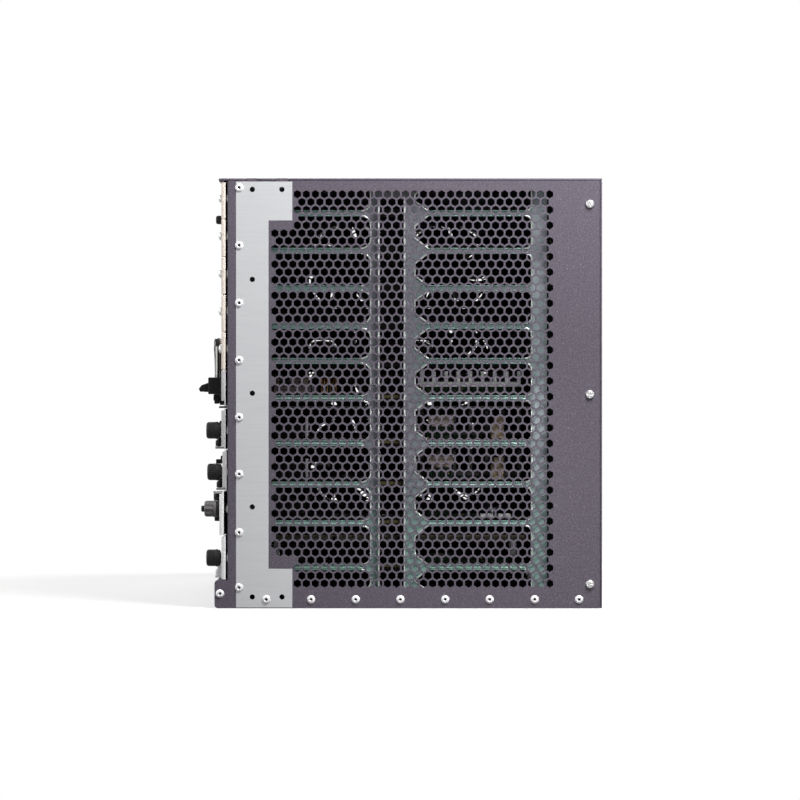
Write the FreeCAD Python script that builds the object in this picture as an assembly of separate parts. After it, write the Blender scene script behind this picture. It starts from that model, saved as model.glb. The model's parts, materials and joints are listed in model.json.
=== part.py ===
import FreeCAD, Part
import math
import os

# Optical line terminal: a six-unit rack chassis with plug-in cards and a side fan tray.
# Millimetres. X runs to the right side that the photo shows, Y to the rear, Z up.
# The origin is on the floor, under the middle of the whole part.

V = FreeCAD.Vector

# Chassis
body_width = 442.0
body_height = 264.5
body_depth = 230.5
rear_y = 124.5
sheet = 1.2
cover_sheet = 1.5
seam = 0.2
flange = 8.8
lap = 9.3

# Front sill and top lip
sill_height = 17.3
sill_reach = 8.0
sill_corner = 1.6
cover_reach = 5.5
cover_corner = 1.5
cover_tabs = ((11.6, 7.0), (29.7, 7.7))

# Slots, from the sill up
slot_foot = 0.2
line_slot = 27.2
control_slot = 25.6
power_slot = 22.3
blank_count = 5
top_margin = 2.0
line_lift = 7.5
control_lift = 4.2
power_lift = 5.2
blank_lift = 4.4

# Faceplates
plate_sheet = 2.6
plate_gap = 1.2
plate_lip = 0.8
plate_end = 1.0
row_gap = 0.25
blank_gap = 0.1

# Side perforation, drawn coarse: each hole stands for a group of the real ones
hole_pitch = 32.4
hole_across = 23.9
field_front = 26.5
field_rear = 28.9
field_foot = 12.7
field_head = 6.8
notch_depth = 15.5
notch_height = 16.3

# Tapped holes for a rack ear
ear_hole_r = 1.65
ear_inset = 15.3
ear_spacing_y = 18.2
ear_foot = 6.95
ear_head = 6.85
ear_pitch = 70.0

# Card cage
cage_gap = 8.8
cage_rear_gap = 33.5
fan_bay = 50.8
bar_height = 3.5
window_foot = 10.0
window_head = 9.0
window_corner = 4.0
window_tip = 6.0
post_front = 93.7
post_width = 14.7
post_margin = 6.9
window_front = 22.0
window_rear = 9.4
post_flange = 5.0
tab_width = 11.0

# Card guides and boards
guide_depth = 6.0
guide_height = 5.2
guide_wall = 1.5
guide_front = 14.0
guide_rear = 13.0
board_sheet = 1.6
board_play = 0.2
plug_depth = 8.5
plug_height = 11.0
plug_width = 58.0
socket_depth = 5.2
mate_gap = 0.3
backplane_sheet = 3.0

# Hand knobs
knob_r = 5.1
knob_sides = 12
knob_length = 7.2
knob_gap = 2.2
knob_nose = 0.6
shank_r = 2.0
shank_play = 0.06
shank_in = 4.4
knob_clear = 0.75

# Small pins and drilled holes are drawn with this many flats
pin_sides = 8
heel_sides = 6

# Ejector levers
lever_length = 46.0
lever_depth = 4.2
lever_height = 5.5
lever_flare = 1.3
lever_toe = 1.2
lever_in = 17.0
lever_lift = 2.0
lever_gap = 0.5
pin_r = 1.1
pin_play = 0.06
lug_sheet = 1.4
lug_gap = 0.25
lug_half = 2.8

# Port cages
port_pitch = 14.25
port_width = 13.4
port_height = 8.6
port_recess = 3.0
cage_height = 10.4
cage_depth = 46.0
cage_proud = 0.7
cage_right = 76.4

# Board parts: each tall part at the right edge has its start from the front, depth and height
part_gap = 1.2
edge_margin = 9.0
edge_width = 14.0
line_parts = ((123.0, 15.0, 7.0),)
control_parts = ((123.0, 15.0, 9.0), (163.0, 7.0, 11.0))
power_parts = ((29.0, 22.0, 10.0), (58.0, 8.5, 9.0))
chip_height = 4.0
converter_height = 6.2
sink_left = 45.0
sink_right = 26.0
sink_depth = 63.0
sink_base = 3.0
fin_sheet = 2.2
control_fins = 7
power_fins = 9

# Power card
power_below = 3.3
switch_in = 15.0
switch_half = 5.0
switch_slot = 2.3
switch_depth = 8.5
switch_nose = 14.7
switch_rise = 12.6
toggle_half = 2.0
toggle_pivot = 3.7
toggle_heel = 3.0
handle_right = 26.0
handle_width = 42.0
handle_bar = 4.0
handle_depth = 3.9
handle_reach = 37.5
handle_back = 2.2
handle_foot = 5.3
inlet_width = 52.0
inlet_height = 11.0
inlet_depth = 34.0
inlet_proud = 2.2
inlet_wall = 2.2
inlet_right = 150.0

# Fan tray
fan_size = 70.0
fan_depth = 32.0
fan_bore = 33.6
fan_bore_sides = 14
fan_pitch = 70.3
fan_rows = 3
fan_columns = 2
fan_tail = 9.65
fan_tip = 0.6
hub_r = 15.0
hub_sides = 10
hub_depth = 25.0
axle_r = 2.0
axle_play = 0.06
axle_length = 2.6
blade_count = 7
blade_chord = 19.0
blade_sheet = 1.3
blade_angle = 42.0
spider_depth = 3.0
strut_width = 4.0
strut_count = 3
guard_bar = 3.0
guard_half = 30.0
guard_corner = 12.0
tray_gap = 0.6
tray_length = 186.0
pull_width = 30.0
pull_reach = 6.0
pull_height = 4.0

# Places worked out from the sizes above
half = body_width / 2
inner = half - sheet
front_y = rear_y - body_depth
plate_back = front_y - plate_gap
plate_front = plate_back - plate_sheet
cover_z = body_height - cover_sheet
panel_rear = rear_y - sheet - seam
slots_z = sill_height + slot_foot
ear_spacing_z = body_height - ear_foot - ear_head
ear_middle_z = ear_foot + ear_spacing_z / 2
cage_out = inner - cage_gap
cage_in = cage_out - sheet
bay_wall = -half + fan_bay + flange + sheet
bay_wall_out = bay_wall - sheet
bay_edge = bay_wall_out - flange + 1.0
cage_rear = rear_y - cage_rear_gap
knob_right = inner - flange / 2
knob_left = bay_wall_out - shank_r - knob_clear
plate_right = half - plate_end
plate_left = bay_edge - mate_gap
board_right = cage_in - guide_wall - mate_gap
board_left = bay_wall + guide_wall + mate_gap
plug_rear = cage_rear - socket_depth
board_rear = plug_rear - plug_depth / 2


def point(axis, level, a, b):
    """A point at a level along one axis, with its other two coordinates in order."""
    if axis == "x":
        return V(level, a, b)
    if axis == "y":
        return V(a, level, b)
    return V(a, b, level)


def ring(axis, level, corners):
    """A closed polygon across an axis."""
    points = [point(axis, level, a, b) for a, b in corners]
    return Part.makePolygon(points + points[:1])


def circle(axis, level, a, b, radius):
    """A round wire across an axis."""
    return Part.Wire([Part.makeCircle(radius, point(axis, level, a, b), point(axis, 1, 0, 0))])


def plate(axis, low, high, outline, holes=(), bores=()):
    """A flat sheet across an axis, with polygon holes and round bores cut through it."""
    wires = [ring(axis, low, outline)]
    wires += [ring(axis, low, hole) for hole in holes]
    wires += [circle(axis, low, a, b, radius) for a, b, radius in bores]
    face = Part.makeFace(wires, "Part::FaceMakerBullseye")
    return face.extrude(point(axis, high - low, 0, 0))


def box(x0, x1, y0, y1, z0, z1):
    """A block between two corners."""
    return Part.makeBox(x1 - x0, y1 - y0, z1 - z0, V(x0, y0, z0))


def rectangle(a0, a1, b0, b1):
    """Four corners."""
    return [(a0, b0), (a1, b0), (a1, b1), (a0, b1)]


def cut_corners(a0, a1, b0, b1, first, last):
    """A rectangle with its corners cut: by one size at a0 and another at a1."""
    return [
        (a0 + first, b0),
        (a1 - last, b0),
        (a1, b0 + last),
        (a1, b1 - last),
        (a1 - last, b1),
        (a0 + first, b1),
        (a0, b1 - first),
        (a0, b0 + first),
    ]


def polygon(a, b, radius, sides, turn=0.0):
    """Corners of a regular polygon."""
    angles = [turn + 2 * math.pi * k / sides for k in range(sides)]
    return [(a + radius * math.cos(t), b + radius * math.sin(t)) for t in angles]


def half_round(a, b, radius, start):
    """Corners of a half circle drawn with flats, counter-clockwise from an angle."""
    angles = [start + math.pi * k / heel_sides for k in range(heel_sides + 1)]
    return [(a + radius * math.cos(t), b + radius * math.sin(t)) for t in angles]


def drilled(a, b, radius):
    """A small hole drawn with flats, all of them clear of the given radius."""
    return polygon(a, b, radius / math.cos(math.pi / pin_sides), pin_sides, math.pi / pin_sides)


def pin(axis, low, high, a, b, radius):
    """A small pin drawn with flats, all of it within the given radius."""
    return plate(axis, low, high, polygon(a, b, radius, pin_sides, math.pi / pin_sides))


def join(solids):
    """One solid from pieces that are formed or welded together."""
    return solids[0].multiFuse(solids[1:]).removeSplitter()


def mirrored(solid):
    """The same piece on the other side of the chassis."""
    return solid.mirror(V(0, 0, 0), V(1, 0, 0))


def save(name, shape):
    """Writes one node's file."""
    shape.exportStep(f"parts/{name}.step")


def slot_table():
    """Every slot from the sill up: its name, foot, height and board level."""
    stack = [
        ("line_card_2", line_slot, line_lift),
        ("line_card_1", line_slot, line_lift),
        ("control_card_2", control_slot, control_lift),
        ("control_card_1", control_slot, control_lift),
        ("power_card", power_slot, power_lift),
    ]
    used = slots_z + sum(size for _, size, _ in stack) + sheet
    blank_slot = (body_height - top_margin - used) / blank_count
    for number in range(blank_count, 0, -1):
        stack.append((f"blank_panel_{number}", blank_slot, blank_lift))
    slots = {}
    level = slots_z
    for name, size, lift in stack:
        if name == "power_card":
            level += sheet
        slots[name] = {"foot": level, "size": size, "board": level + lift}
        level += size
    return slots


slots = slot_table()
levels = [slot["board"] for slot in slots.values()]
shelf_top = slots["power_card"]["foot"]

# What each plug-in card has: open edge below and above its faceplate, how far it stands proud, its knob
# above the slot's middle and the stub on that knob, levers on its top edge or not, and its board's parts.
line_card = {"below": 0.2, "above": 1.3, "proud": 0.0, "knob": -0.3, "stub": 0.0, "top_lever": False}
line_card.update({"parts": line_parts, "fins": 0})
control_card = {"below": 2.3, "above": 1.4, "proud": 0.0, "knob": -0.9, "stub": 0.0, "top_lever": False}
control_card.update({"parts": control_parts, "fins": control_fins})
cards = {
    "line_card_1": {**line_card, "above": 1.9, "proud": 1.2, "knob": 2.8, "stub": 2.0, "top_lever": True},
    "line_card_2": line_card,
    "control_card_1": control_card,
    "control_card_2": {**control_card, "proud": -0.6},
}
port_groups = {"line_card_1": (16,), "line_card_2": (16,), "control_card_1": (4, 6), "control_card_2": (4, 6)}


def knob_level(name):
    """Height of a card's knobs."""
    return slots[name]["foot"] + slots[name]["size"] / 2 + cards[name]["knob"]


def knob_holes(x):
    """Holes in a front flange, one for each card's knob."""
    return [drilled(x, knob_level(name), shank_r + mate_gap) for name in cards]


def perforation():
    """Hexagons of the side grille, point up, on a staggered grid that leaves the ear's corners free."""
    low_y = front_y + field_front
    high_y = panel_rear - field_rear
    low_z = field_foot
    high_z = body_height - field_head
    row_pitch = hole_pitch * math.sqrt(3) / 2
    hole_r = hole_across / math.sqrt(3)
    rows = int((high_z - low_z - 2 * hole_r) / row_pitch) + 1
    columns = int((high_y - low_y - hole_across - hole_pitch / 2) / hole_pitch) + 1
    first_z = (low_z + high_z - (rows - 1) * row_pitch) / 2
    first_y = (low_y + high_y - (columns - 0.5) * hole_pitch) / 2
    hexagons = []
    for row in range(rows):
        z = first_z + row * row_pitch
        corner = z < low_z + notch_height + hole_r or z > high_z - notch_height - hole_r
        for column in range(columns):
            y = first_y + (column + (row % 2) / 2) * hole_pitch
            if corner and y - hole_across / 2 < low_y + notch_depth:
                continue
            hexagons.append(polygon(y, z, hole_r, 6, math.pi / 2))
    return hexagons


def ear_corners():
    """The rack ear's four tapped corner holes."""
    near = front_y + ear_inset
    half_z = ear_spacing_z / 2
    heights = (ear_middle_z - half_z, ear_middle_z + half_z)
    return [(y, z, ear_hole_r) for y in (near, near + ear_spacing_y) for z in heights]


def ear_column():
    """The rack ear's column of holes between the corners."""
    return [drilled(front_y + ear_inset, ear_middle_z + k * ear_pitch, ear_hole_r) for k in (-1, 0, 1)]


def tab_spans():
    """Front and rear of each tab where the side panel comes up through the top cover."""
    return [(front_y + start, front_y + start + length) for start, length in cover_tabs]


def side_panel(flange_holes):
    """Right side panel: grille, ear holes, sill cheek, cover tabs and folded front flange."""
    lip = front_y - sill_reach
    outline = [
        (front_y, cover_z),
        (front_y, sill_height),
        (lip + sill_corner, sill_height),
        (lip, sill_height - sill_corner),
        (lip, sill_corner),
        (lip + sill_corner, 0),
        (panel_rear, 0),
        (panel_rear, cover_z),
    ]
    for start, end in reversed(tab_spans()):
        outline += [(end, cover_z), (end, body_height), (start, body_height), (start, cover_z)]
    wall = plate("x", inner, half, outline, perforation() + ear_column(), ear_corners())
    edge = rectangle(inner - flange, inner, slots_z + seam, cover_z - seam)
    fold = plate("y", front_y, front_y + sheet, edge, flange_holes)
    return join([wall, fold])


def make_side_panels():
    save("right_side_panel", side_panel(knob_holes(knob_right)))
    save("left_side_panel", mirrored(side_panel(())))


def make_top_cover():
    """Flat cover over the side panels, with edge notches for their tabs and two folded sides."""
    front = front_y - cover_reach
    outline = [
        (-half + cover_corner, front),
        (half - cover_corner, front),
        (half, front + cover_corner),
        (half, rear_y),
        (-half, rear_y),
        (-half, front + cover_corner),
    ]
    cover = plate("z", cover_z, body_height, outline)
    notches = []
    for start, end in tab_spans():
        for side in (-1, 1):
            low, high = sorted((side * (inner - seam), side * (half + seam)))
            notches.append(box(low, high, start - seam, end + seam, cover_z - seam, body_height + seam))
    cover = cover.cut(Part.Compound(notches))
    folds = []
    for side in (-1, 1):
        low, high = sorted((side * (inner - seam), side * (inner - seam - sheet)))
        fold_front = front_y + flange + lap
        folds.append(box(low, high, fold_front, panel_rear - 2 * lap, cover_z - flange / 2, cover_z))
    save("top_cover", join([cover] + folds))


def make_base_tray():
    """Floor, front sill folded up and back, and side folds that the lower rivets hold."""
    out = inner - seam
    lip = front_y - sill_reach + sheet
    floor = box(-out, out, lip, panel_rear, 0, sheet)
    front = box(-out, out, lip, lip + sheet, 0, sill_height)
    ledge = box(-out, out, lip, front_y - sheet, sill_height - sheet, sill_height)
    pieces = [floor, front, ledge]
    for side in (-1, 1):
        low, high = sorted((side * out, side * (out - sheet)))
        pieces.append(box(low, high, front_y + 2 * sheet, panel_rear - 2 * lap, 0, lap + sheet))
    save("base_tray", join(pieces))


def make_rear_panel():
    """Back sheet with folded sides that the three screws of each side panel hold."""
    back = box(-half, half, rear_y - sheet, rear_y, 0, cover_z - seam)
    out = inner - seam
    pieces = [back]
    for side in (-1, 1):
        low, high = sorted((side * out, side * (out - sheet)))
        foot = lap + 2 * sheet
        pieces.append(box(low, high, rear_y - sheet - 1.5 * lap, rear_y - sheet, foot, cover_z - lap))
    save("rear_panel", join(pieces))


def window_spans():
    """Foot and head of each row of cage windows, between the bars behind the guides."""
    bars = [(level - bar_height / 2, level + bar_height / 2) for level in levels]
    feet = [window_foot] + [top for _, top in bars]
    heads = [low for low, _ in bars] + [cover_z - window_head + bar_height]
    return list(zip(feet, heads))


def window_columns():
    """Front and rear of the two window columns and of the tall opening between them."""
    post = front_y + post_front
    tall = (post, post + post_width)
    front = (front_y + window_front, post - post_margin + 1.3)
    rear = (post + post_width + post_margin, cage_rear - window_rear)
    return front, tall, rear


def make_cage_walls():
    """The two walls that carry the guides, pierced so that air can cross the cards."""
    front, tall, rear = window_columns()
    spans = window_spans()
    holes = [rectangle(*tall, window_foot + window_head, cover_z - window_head - bar_height)]
    plain = []
    for foot, head in spans:
        holes.append(cut_corners(*front, foot, head, window_corner, window_corner))
        holes.append(cut_corners(*rear, foot, head, window_tip, window_corner))
        plain.append(rectangle(*front, foot, head))
        plain.append(rectangle(*rear, foot, head))
    foot_z = sheet + seam
    head_z = cover_z - seam
    web = front_y + lap + 2 * sheet
    out = inner - seam
    wall = plate("x", cage_in, cage_out, rectangle(web, cage_rear, foot_z, head_z), holes)
    low = lap + 2 * sheet
    pieces = [
        wall,
        box(cage_in, out, web, web + sheet, low, head_z - flange),
        box(out - sheet, out, front_y + sheet + seam, web + sheet, low, head_z - flange),
        box(cage_in - tab_width, cage_in, cage_rear - sheet, cage_rear, foot_z, head_z),
        box(cage_in - tab_width, cage_in, web, cage_rear, foot_z, foot_z + sheet),
    ]
    for y in (tall[0] - sheet, tall[1]):
        pieces.append(box(cage_out, cage_out + post_flange, y, y + sheet, foot_z + lap, head_z - lap))
    save("right_cage_wall", join(pieces))
    edge = front_y + sheet
    wall = plate("x", bay_wall_out, bay_wall, rectangle(front_y, cage_rear, foot_z, head_z), plain)
    lip = rectangle(bay_edge, bay_wall_out, slots_z + seam, head_z - seam)
    runner_top = slots_z + seam
    runner_rear = plate_back + tray_length
    pieces = [
        wall,
        plate("y", front_y, edge, lip, knob_holes(knob_left)),
        box(bay_wall, bay_wall + tab_width, cage_rear - sheet, cage_rear, foot_z, head_z),
        box(bay_wall, bay_wall + tab_width, edge, cage_rear, foot_z, foot_z + sheet),
        box(-inner + flange, bay_wall_out, edge + sheet, runner_rear, runner_top - sheet, runner_top),
    ]
    save("left_cage_wall", join(pieces))


def guide(wall_x, inward, level):
    """A moulded rail on a cage wall, with a groove for the board's edge."""
    groove = board_sheet / 2 + board_play
    tip = wall_x + inward * guide_depth
    floor = wall_x + inward * guide_wall
    high = level + guide_height / 2
    low = level - guide_height / 2
    profile = [
        (wall_x, low),
        (tip, low),
        (tip, level - groove),
        (floor, level - groove),
        (floor, level + groove),
        (tip, level + groove),
        (tip, high),
        (wall_x, high),
    ]
    return plate("y", front_y + guide_front, cage_rear - guide_rear, profile)


def make_card_guides():
    rails = [guide(cage_in, -1, level) for level in levels]
    rails += [guide(bay_wall, 1, level) for level in levels]
    save("card_guides", Part.Compound(rails))


def make_card_shelf():
    """Divider above the control slots; its front edge stands out between the faceplates."""
    front = plate_front - plate_lip - plate_gap
    save("card_shelf", box(bay_wall + seam, cage_in - seam, front, plug_rear, shelf_top - sheet, shelf_top))


def plug_spans():
    """Left and right of the two plugs at the back of every board."""
    quarter = (board_right - board_left) / 4
    centres = (board_left + quarter, board_right - quarter)
    return [(x - plug_width / 2, x + plug_width / 2) for x in centres]


def make_backplane():
    """Board across the back of the cage with a pair of sockets for each slot."""
    low = slots_z + board_sheet
    back = cage_rear + seam
    pieces = [box(board_left, board_right, back, back + backplane_sheet, low, cover_z - lap)]
    for slot in slots.values():
        foot = slot["board"] + board_sheet / 2
        for left, right in plug_spans():
            pieces.append(box(left, right, plug_rear, back, foot, foot + plug_height))
    save("backplane", join(pieces))


def make_blank_panels():
    """Plain plates over the empty slots."""
    for number in range(1, blank_count + 1):
        name = f"blank_panel_{number}"
        low = slots[name]["foot"] + blank_gap
        high = slots[name]["foot"] + slots[name]["size"] - blank_gap
        save(name, box(plate_left, plate_right, plate_front, plate_back, low, high))


def hand_knob(x, z, face, stub):
    """Fluted hand knob on a shank that runs through the faceplate into the flange."""
    back = face - knob_gap
    nose = back - knob_length
    grip = plate("y", nose + knob_nose, back, polygon(x, z, knob_r, knob_sides))
    wide = ring("y", nose + knob_nose, polygon(x, z, knob_r, knob_sides))
    tight = ring("y", nose, polygon(x, z, knob_r - knob_nose, knob_sides))
    pieces = [grip, Part.makeLoft([wide, tight], True, True)]
    pieces.append(pin("y", back, front_y + shank_in, x, z, shank_r))
    if stub:
        pieces.append(plate("y", nose - stub, nose, polygon(x, z, stub, 6)))
    return join(pieces)


def lever_foot(name):
    """Lowest level of a card's levers."""
    slot = slots[name]
    if cards[name]["top_lever"]:
        return slot["foot"] + slot["size"] - lever_lift - lever_height
    return slot["foot"] + lever_lift


def lever_pivot(side, face):
    """Where a lever's pin stands: side is 1 at the right end and -1 at the left."""
    x = cage_in - lever_in + lug_half * 2 if side > 0 else bay_wall + lever_in - lug_half * 2
    return x, face - lever_gap - lever_depth / 2


def lever(name, side, face):
    """Ejector lever lying along the faceplate on an upright pin; a lower lever slopes back to the plate."""
    x, y = lever_pivot(side, face)
    foot = lever_foot(name)
    half_depth = lever_depth / 2
    far = x - side * lever_length
    bend = x - side * lever_length * 0.7
    heel = [(x + side * (a - x), b) for a, b in half_round(x, y, half_depth, -math.pi / 2)]
    bar = [
        (far + side * lever_depth, y + half_depth),
        (far, y - half_depth + lever_flare / 2),
        (far, y - half_depth - lever_flare),
        (bend, y - half_depth),
    ]
    head = foot + lever_height
    solid = plate("z", foot, head, heel + bar, [drilled(x, y, pin_r + pin_play)])
    if cards[name]["top_lever"]:
        return solid
    low, high = sorted((far - side * lever_depth, x + side * lever_depth))
    tip = y - half_depth - 2 * lever_flare
    slope = [
        (y + half_depth - lever_toe, head),
        (tip, foot + lever_toe),
        (tip, head + lever_toe),
        (y + half_depth - lever_toe, head + lever_toe),
    ]
    return solid.cut(plate("x", low, high, slope))


def lever_lugs(name, side, face):
    """The pair of ears and the pin that carry a lever."""
    x, y = lever_pivot(side, face)
    foot = lever_foot(name)
    head = foot + lever_height
    reach = y - lever_depth / 2
    root = face + plate_sheet - plate_lip
    low = box(x - lug_half, x + lug_half, reach, root, foot - lug_gap - lug_sheet, foot - lug_gap)
    high = box(x - lug_half, x + lug_half, reach, root, head + lug_gap, head + lug_gap + lug_sheet)
    return [low, high, pin("z", foot - lug_gap - lug_sheet / 2, head + lug_gap + lug_sheet / 2, x, y, pin_r)]


def port_blocks(name):
    """Left edge and port count of each ganged cage, set out from the right."""
    right = plate_right - cage_right
    blocks = []
    for count in port_groups[name]:
        left = right - count * port_pitch
        blocks.append((left, count))
        right = left - port_pitch
    return blocks


def faceplate(name, face, windows):
    """Card front: a plate with a thin lip behind it that closes the slot, knob holes and lever ears."""
    slot = slots[name]
    card = cards[name]
    low = slot["foot"]
    high = low + slot["size"]
    z = knob_level(name)
    holes = windows + [drilled(x, z, shank_r + shank_play) for x in (knob_left, knob_right)]
    back = face + plate_sheet
    show = rectangle(plate_left, plate_right, low + card["below"], high - card["above"])
    close = rectangle(plate_left, plate_right, low + row_gap, high - row_gap)
    pieces = [plate("y", face, back - plate_lip, show, holes)]
    pieces.append(plate("y", back - plate_lip, back, close, holes))
    for side in (-1, 1):
        pieces += lever_lugs(name, side, face)
    return join(pieces)


def heat_sink(x0, x1, y0, y1, foot, roof, count):
    """A base with upright fins that run across the chassis, as the air does."""
    comb = [(y0, foot), (y1, foot)]
    step = (y1 - y0 - fin_sheet) / (count - 1)
    deck = foot + sink_base
    for k in reversed(range(count)):
        near = y0 + k * step
        far = near + fin_sheet
        comb += [(far, deck), (far, roof), (near, roof), (near, deck)]
    comb = comb[:2] + comb[3:-1]
    return plate("x", x0, x1, comb)


def board_top(name):
    """Upper face of a card's board."""
    return slots[name]["board"] + board_sheet / 2


def board_roof(name):
    """Highest level that anything on a board may reach."""
    return slots[name]["foot"] + slots[name]["size"] - 2 * row_gap


def sink_span():
    """Left, right, front and rear of a heat sink and of the chip or converter under it."""
    rear = plug_rear - mate_gap - plug_depth - part_gap
    return board_left + sink_left, board_right - sink_right, rear - sink_depth, rear


def board(name, back, edge_parts, core_height):
    """A card's board with its plugs, its main chip or converter and the tall parts along its right edge."""
    top = board_top(name)
    pieces = [box(board_left, board_right, back, board_rear, top - board_sheet, top)]
    plug_front = plug_rear - mate_gap - plug_depth
    for left, right in plug_spans():
        pieces.append(box(left, right, plug_front, plug_rear - mate_gap, top, top + plug_height))
    for start, depth, height in edge_parts:
        right = board_right - edge_margin
        front = front_y + start
        pieces.append(box(right - edge_width, right, front, front + depth, top, top + height))
    pieces.append(box(*sink_span(), top, top + core_height))
    return join(pieces)


def make_card(name):
    """One plug-in card with its faceplate, board, port cages, levers and knobs."""
    card = cards[name]
    face = plate_front - card["proud"]
    back = face + plate_sheet
    top = board_top(name)
    cage_top = top + cage_height
    port_foot = top + (cage_height - port_height) / 2
    mouth = face - cage_proud
    windows = []
    cages = []
    for left, count in port_blocks(name):
        right = left + count * port_pitch
        windows.append(rectangle(left - seam, right + seam, top - seam, cage_top + seam))
        ports = []
        for k in range(count):
            start = left + k * port_pitch + (port_pitch - port_width) / 2
            ports.append(rectangle(start, start + port_width, port_foot, port_foot + port_height))
        shell = plate("y", mouth, mouth + port_recess, rectangle(left, right, top, cage_top), ports)
        body = box(left, right, mouth + port_recess, back + cage_depth, top, cage_top)
        cages.append(join([shell, body]))
    save(f"{name}_faceplate", faceplate(name, face, windows))
    save(f"{name}_cages", Part.Compound(cages))
    save(f"{name}_board", board(name, back, card["parts"], chip_height))
    if card["fins"]:
        sink = heat_sink(*sink_span(), top + chip_height, board_roof(name), card["fins"])
        save(f"{name}_heat_sink", sink)
    for side, word, x in ((-1, "left", knob_left), (1, "right", knob_right)):
        save(f"{name}_lever_{word}", lever(name, side, face))
        save(f"{name}_knob_{word}", hand_knob(x, knob_level(name), face, card["stub"]))


def switch_pivot():
    """Axis of the switch lever: its X middle, depth and height."""
    foot = slots["power_card"]["foot"]
    return plate_right - switch_in, plate_front - toggle_pivot, foot + switch_rise


def make_switch_lever():
    """Tapered switch lever on its cross pin, thrown down at rest."""
    x, y, z = switch_pivot()
    tip = plate_front - switch_nose
    mouth = plate_front - switch_depth
    lever_side = [
        (mouth, z - 3.9),
        (tip + 0.8, z - 3.6),
        (tip, z - 1.8),
        (tip + 1.8, z + 0.4),
        (mouth, z + 2.0),
    ]
    outline = half_round(y, z, toggle_heel, -math.pi / 2)[::-1] + lever_side
    pin_hole = drilled(y, z, pin_r + pin_play)
    save("power_switch_lever", plate("x", x - toggle_half, x + toggle_half, outline, [pin_hole]))


def handle_pivot():
    """Axis of the folding handle: depth and height."""
    return plate_front - handle_back - handle_depth / 2, slots["power_card"]["foot"] + handle_foot


def make_power_handle():
    """Folding pull handle, turned up flat over the blank panel above."""
    y, z = handle_pivot()
    right = plate_right - handle_right
    left = right - handle_width
    head = z + handle_reach
    half_depth = handle_depth / 2
    outline = half_round(y, z, half_depth, -math.pi)
    outline += [(y + half_depth, head), (y - half_depth, head)]
    pin_hole = drilled(y, z, pin_r + pin_play)
    legs = [plate("x", x, x + handle_bar, outline, [pin_hole]) for x in (left, right - handle_bar)]
    grip = box(left, right, y - half_depth, y + half_depth, head - handle_bar, head)
    save("power_handle", join(legs + [grip]))


def handle_lugs():
    """Ears and pins on the power faceplate that carry the handle's legs."""
    y, z = handle_pivot()
    right = plate_right - handle_right
    left = right - handle_width
    pieces = []
    for near, far, pin_end in ((left - lug_gap, left - lug_gap - lug_sheet, left + handle_bar),
                               (right + lug_gap, right + lug_gap + lug_sheet, right - handle_bar)):
        low, high = sorted((near, far))
        pieces.append(box(low, high, y - handle_depth / 2, plate_front, z - pin_r * 1.6, z + pin_r * 1.6))
        low, high = sorted(((near + far) / 2, pin_end))
        pieces.append(pin("x", low, high, y, z, pin_r))
    return pieces


def power_faceplate(inlet_hole):
    """Power card's front with the switch's cheeks and pin and the handle's ears."""
    low = slots["power_card"]["foot"]
    high = low + power_slot - row_gap
    show = rectangle(plate_left, plate_right, low + power_below, high)
    close = rectangle(plate_left, plate_right, low + row_gap, high)
    pieces = [plate("y", plate_front, plate_back - plate_lip, show, [inlet_hole])]
    pieces.append(plate("y", plate_back - plate_lip, plate_back, close, [inlet_hole]))
    x, y, z = switch_pivot()
    mouth = plate_front - switch_depth
    for side in (-1, 1):
        near, far = sorted((x + side * switch_slot, x + side * switch_half))
        pieces.append(box(near, far, mouth, plate_front, z - switch_half, z + switch_half))
    pieces.append(pin("x", x - switch_half + pin_r, x + switch_half - pin_r, y, z, pin_r))
    return join(pieces + handle_lugs())


def make_power_card():
    """Power card: faceplate, board with converter and heat sink, inlet, switch lever and handle."""
    name = "power_card"
    top = board_top(name)
    left = plate_right - inlet_right
    right = left + inlet_width
    inlet_top = top + inlet_height
    inlet_hole = rectangle(left - seam, right + seam, top - seam, inlet_top + seam)
    save("power_card_faceplate", power_faceplate(inlet_hole))
    mouth = plate_front - inlet_proud
    half_width = inlet_width / 2
    sockets = []
    for start in (left, left + half_width):
        span = (start + inlet_wall, start + half_width - inlet_wall)
        sockets.append(rectangle(*span, top + inlet_wall, inlet_top - inlet_wall))
    shell = plate("y", mouth, mouth + port_recess, rectangle(left, right, top, inlet_top), sockets)
    body = box(left, right, mouth + port_recess, mouth + inlet_depth, top, inlet_top)
    save("power_card_inlet", join([shell, body]))
    save("power_card_board", board(name, plate_back, power_parts, converter_height))
    sink = heat_sink(*sink_span(), top + converter_height, board_roof(name), power_fins)
    save("power_card_heat_sink", sink)
    make_switch_lever()
    make_power_handle()


def fan_places():
    """Middle of each fan, top row first."""
    top = cover_z - 2 * sheet - seam - tray_gap - fan_size / 2
    last_y = plate_back + tray_length - fan_tail - fan_size / 2
    first_y = last_y - (fan_columns - 1) * fan_pitch
    columns = [first_y + c * fan_pitch for c in range(fan_columns)]
    rows = [top - r * fan_pitch for r in range(fan_rows)]
    return [(y, z) for z in rows for y in columns]


def tray_box():
    """Right plate, left edge, foot and head of the fan tray's frame."""
    right = bay_edge - tray_gap
    left = -inner + flange + tray_gap
    return right, left, slots_z + seam + mate_gap, cover_z - sheet - seam


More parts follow.
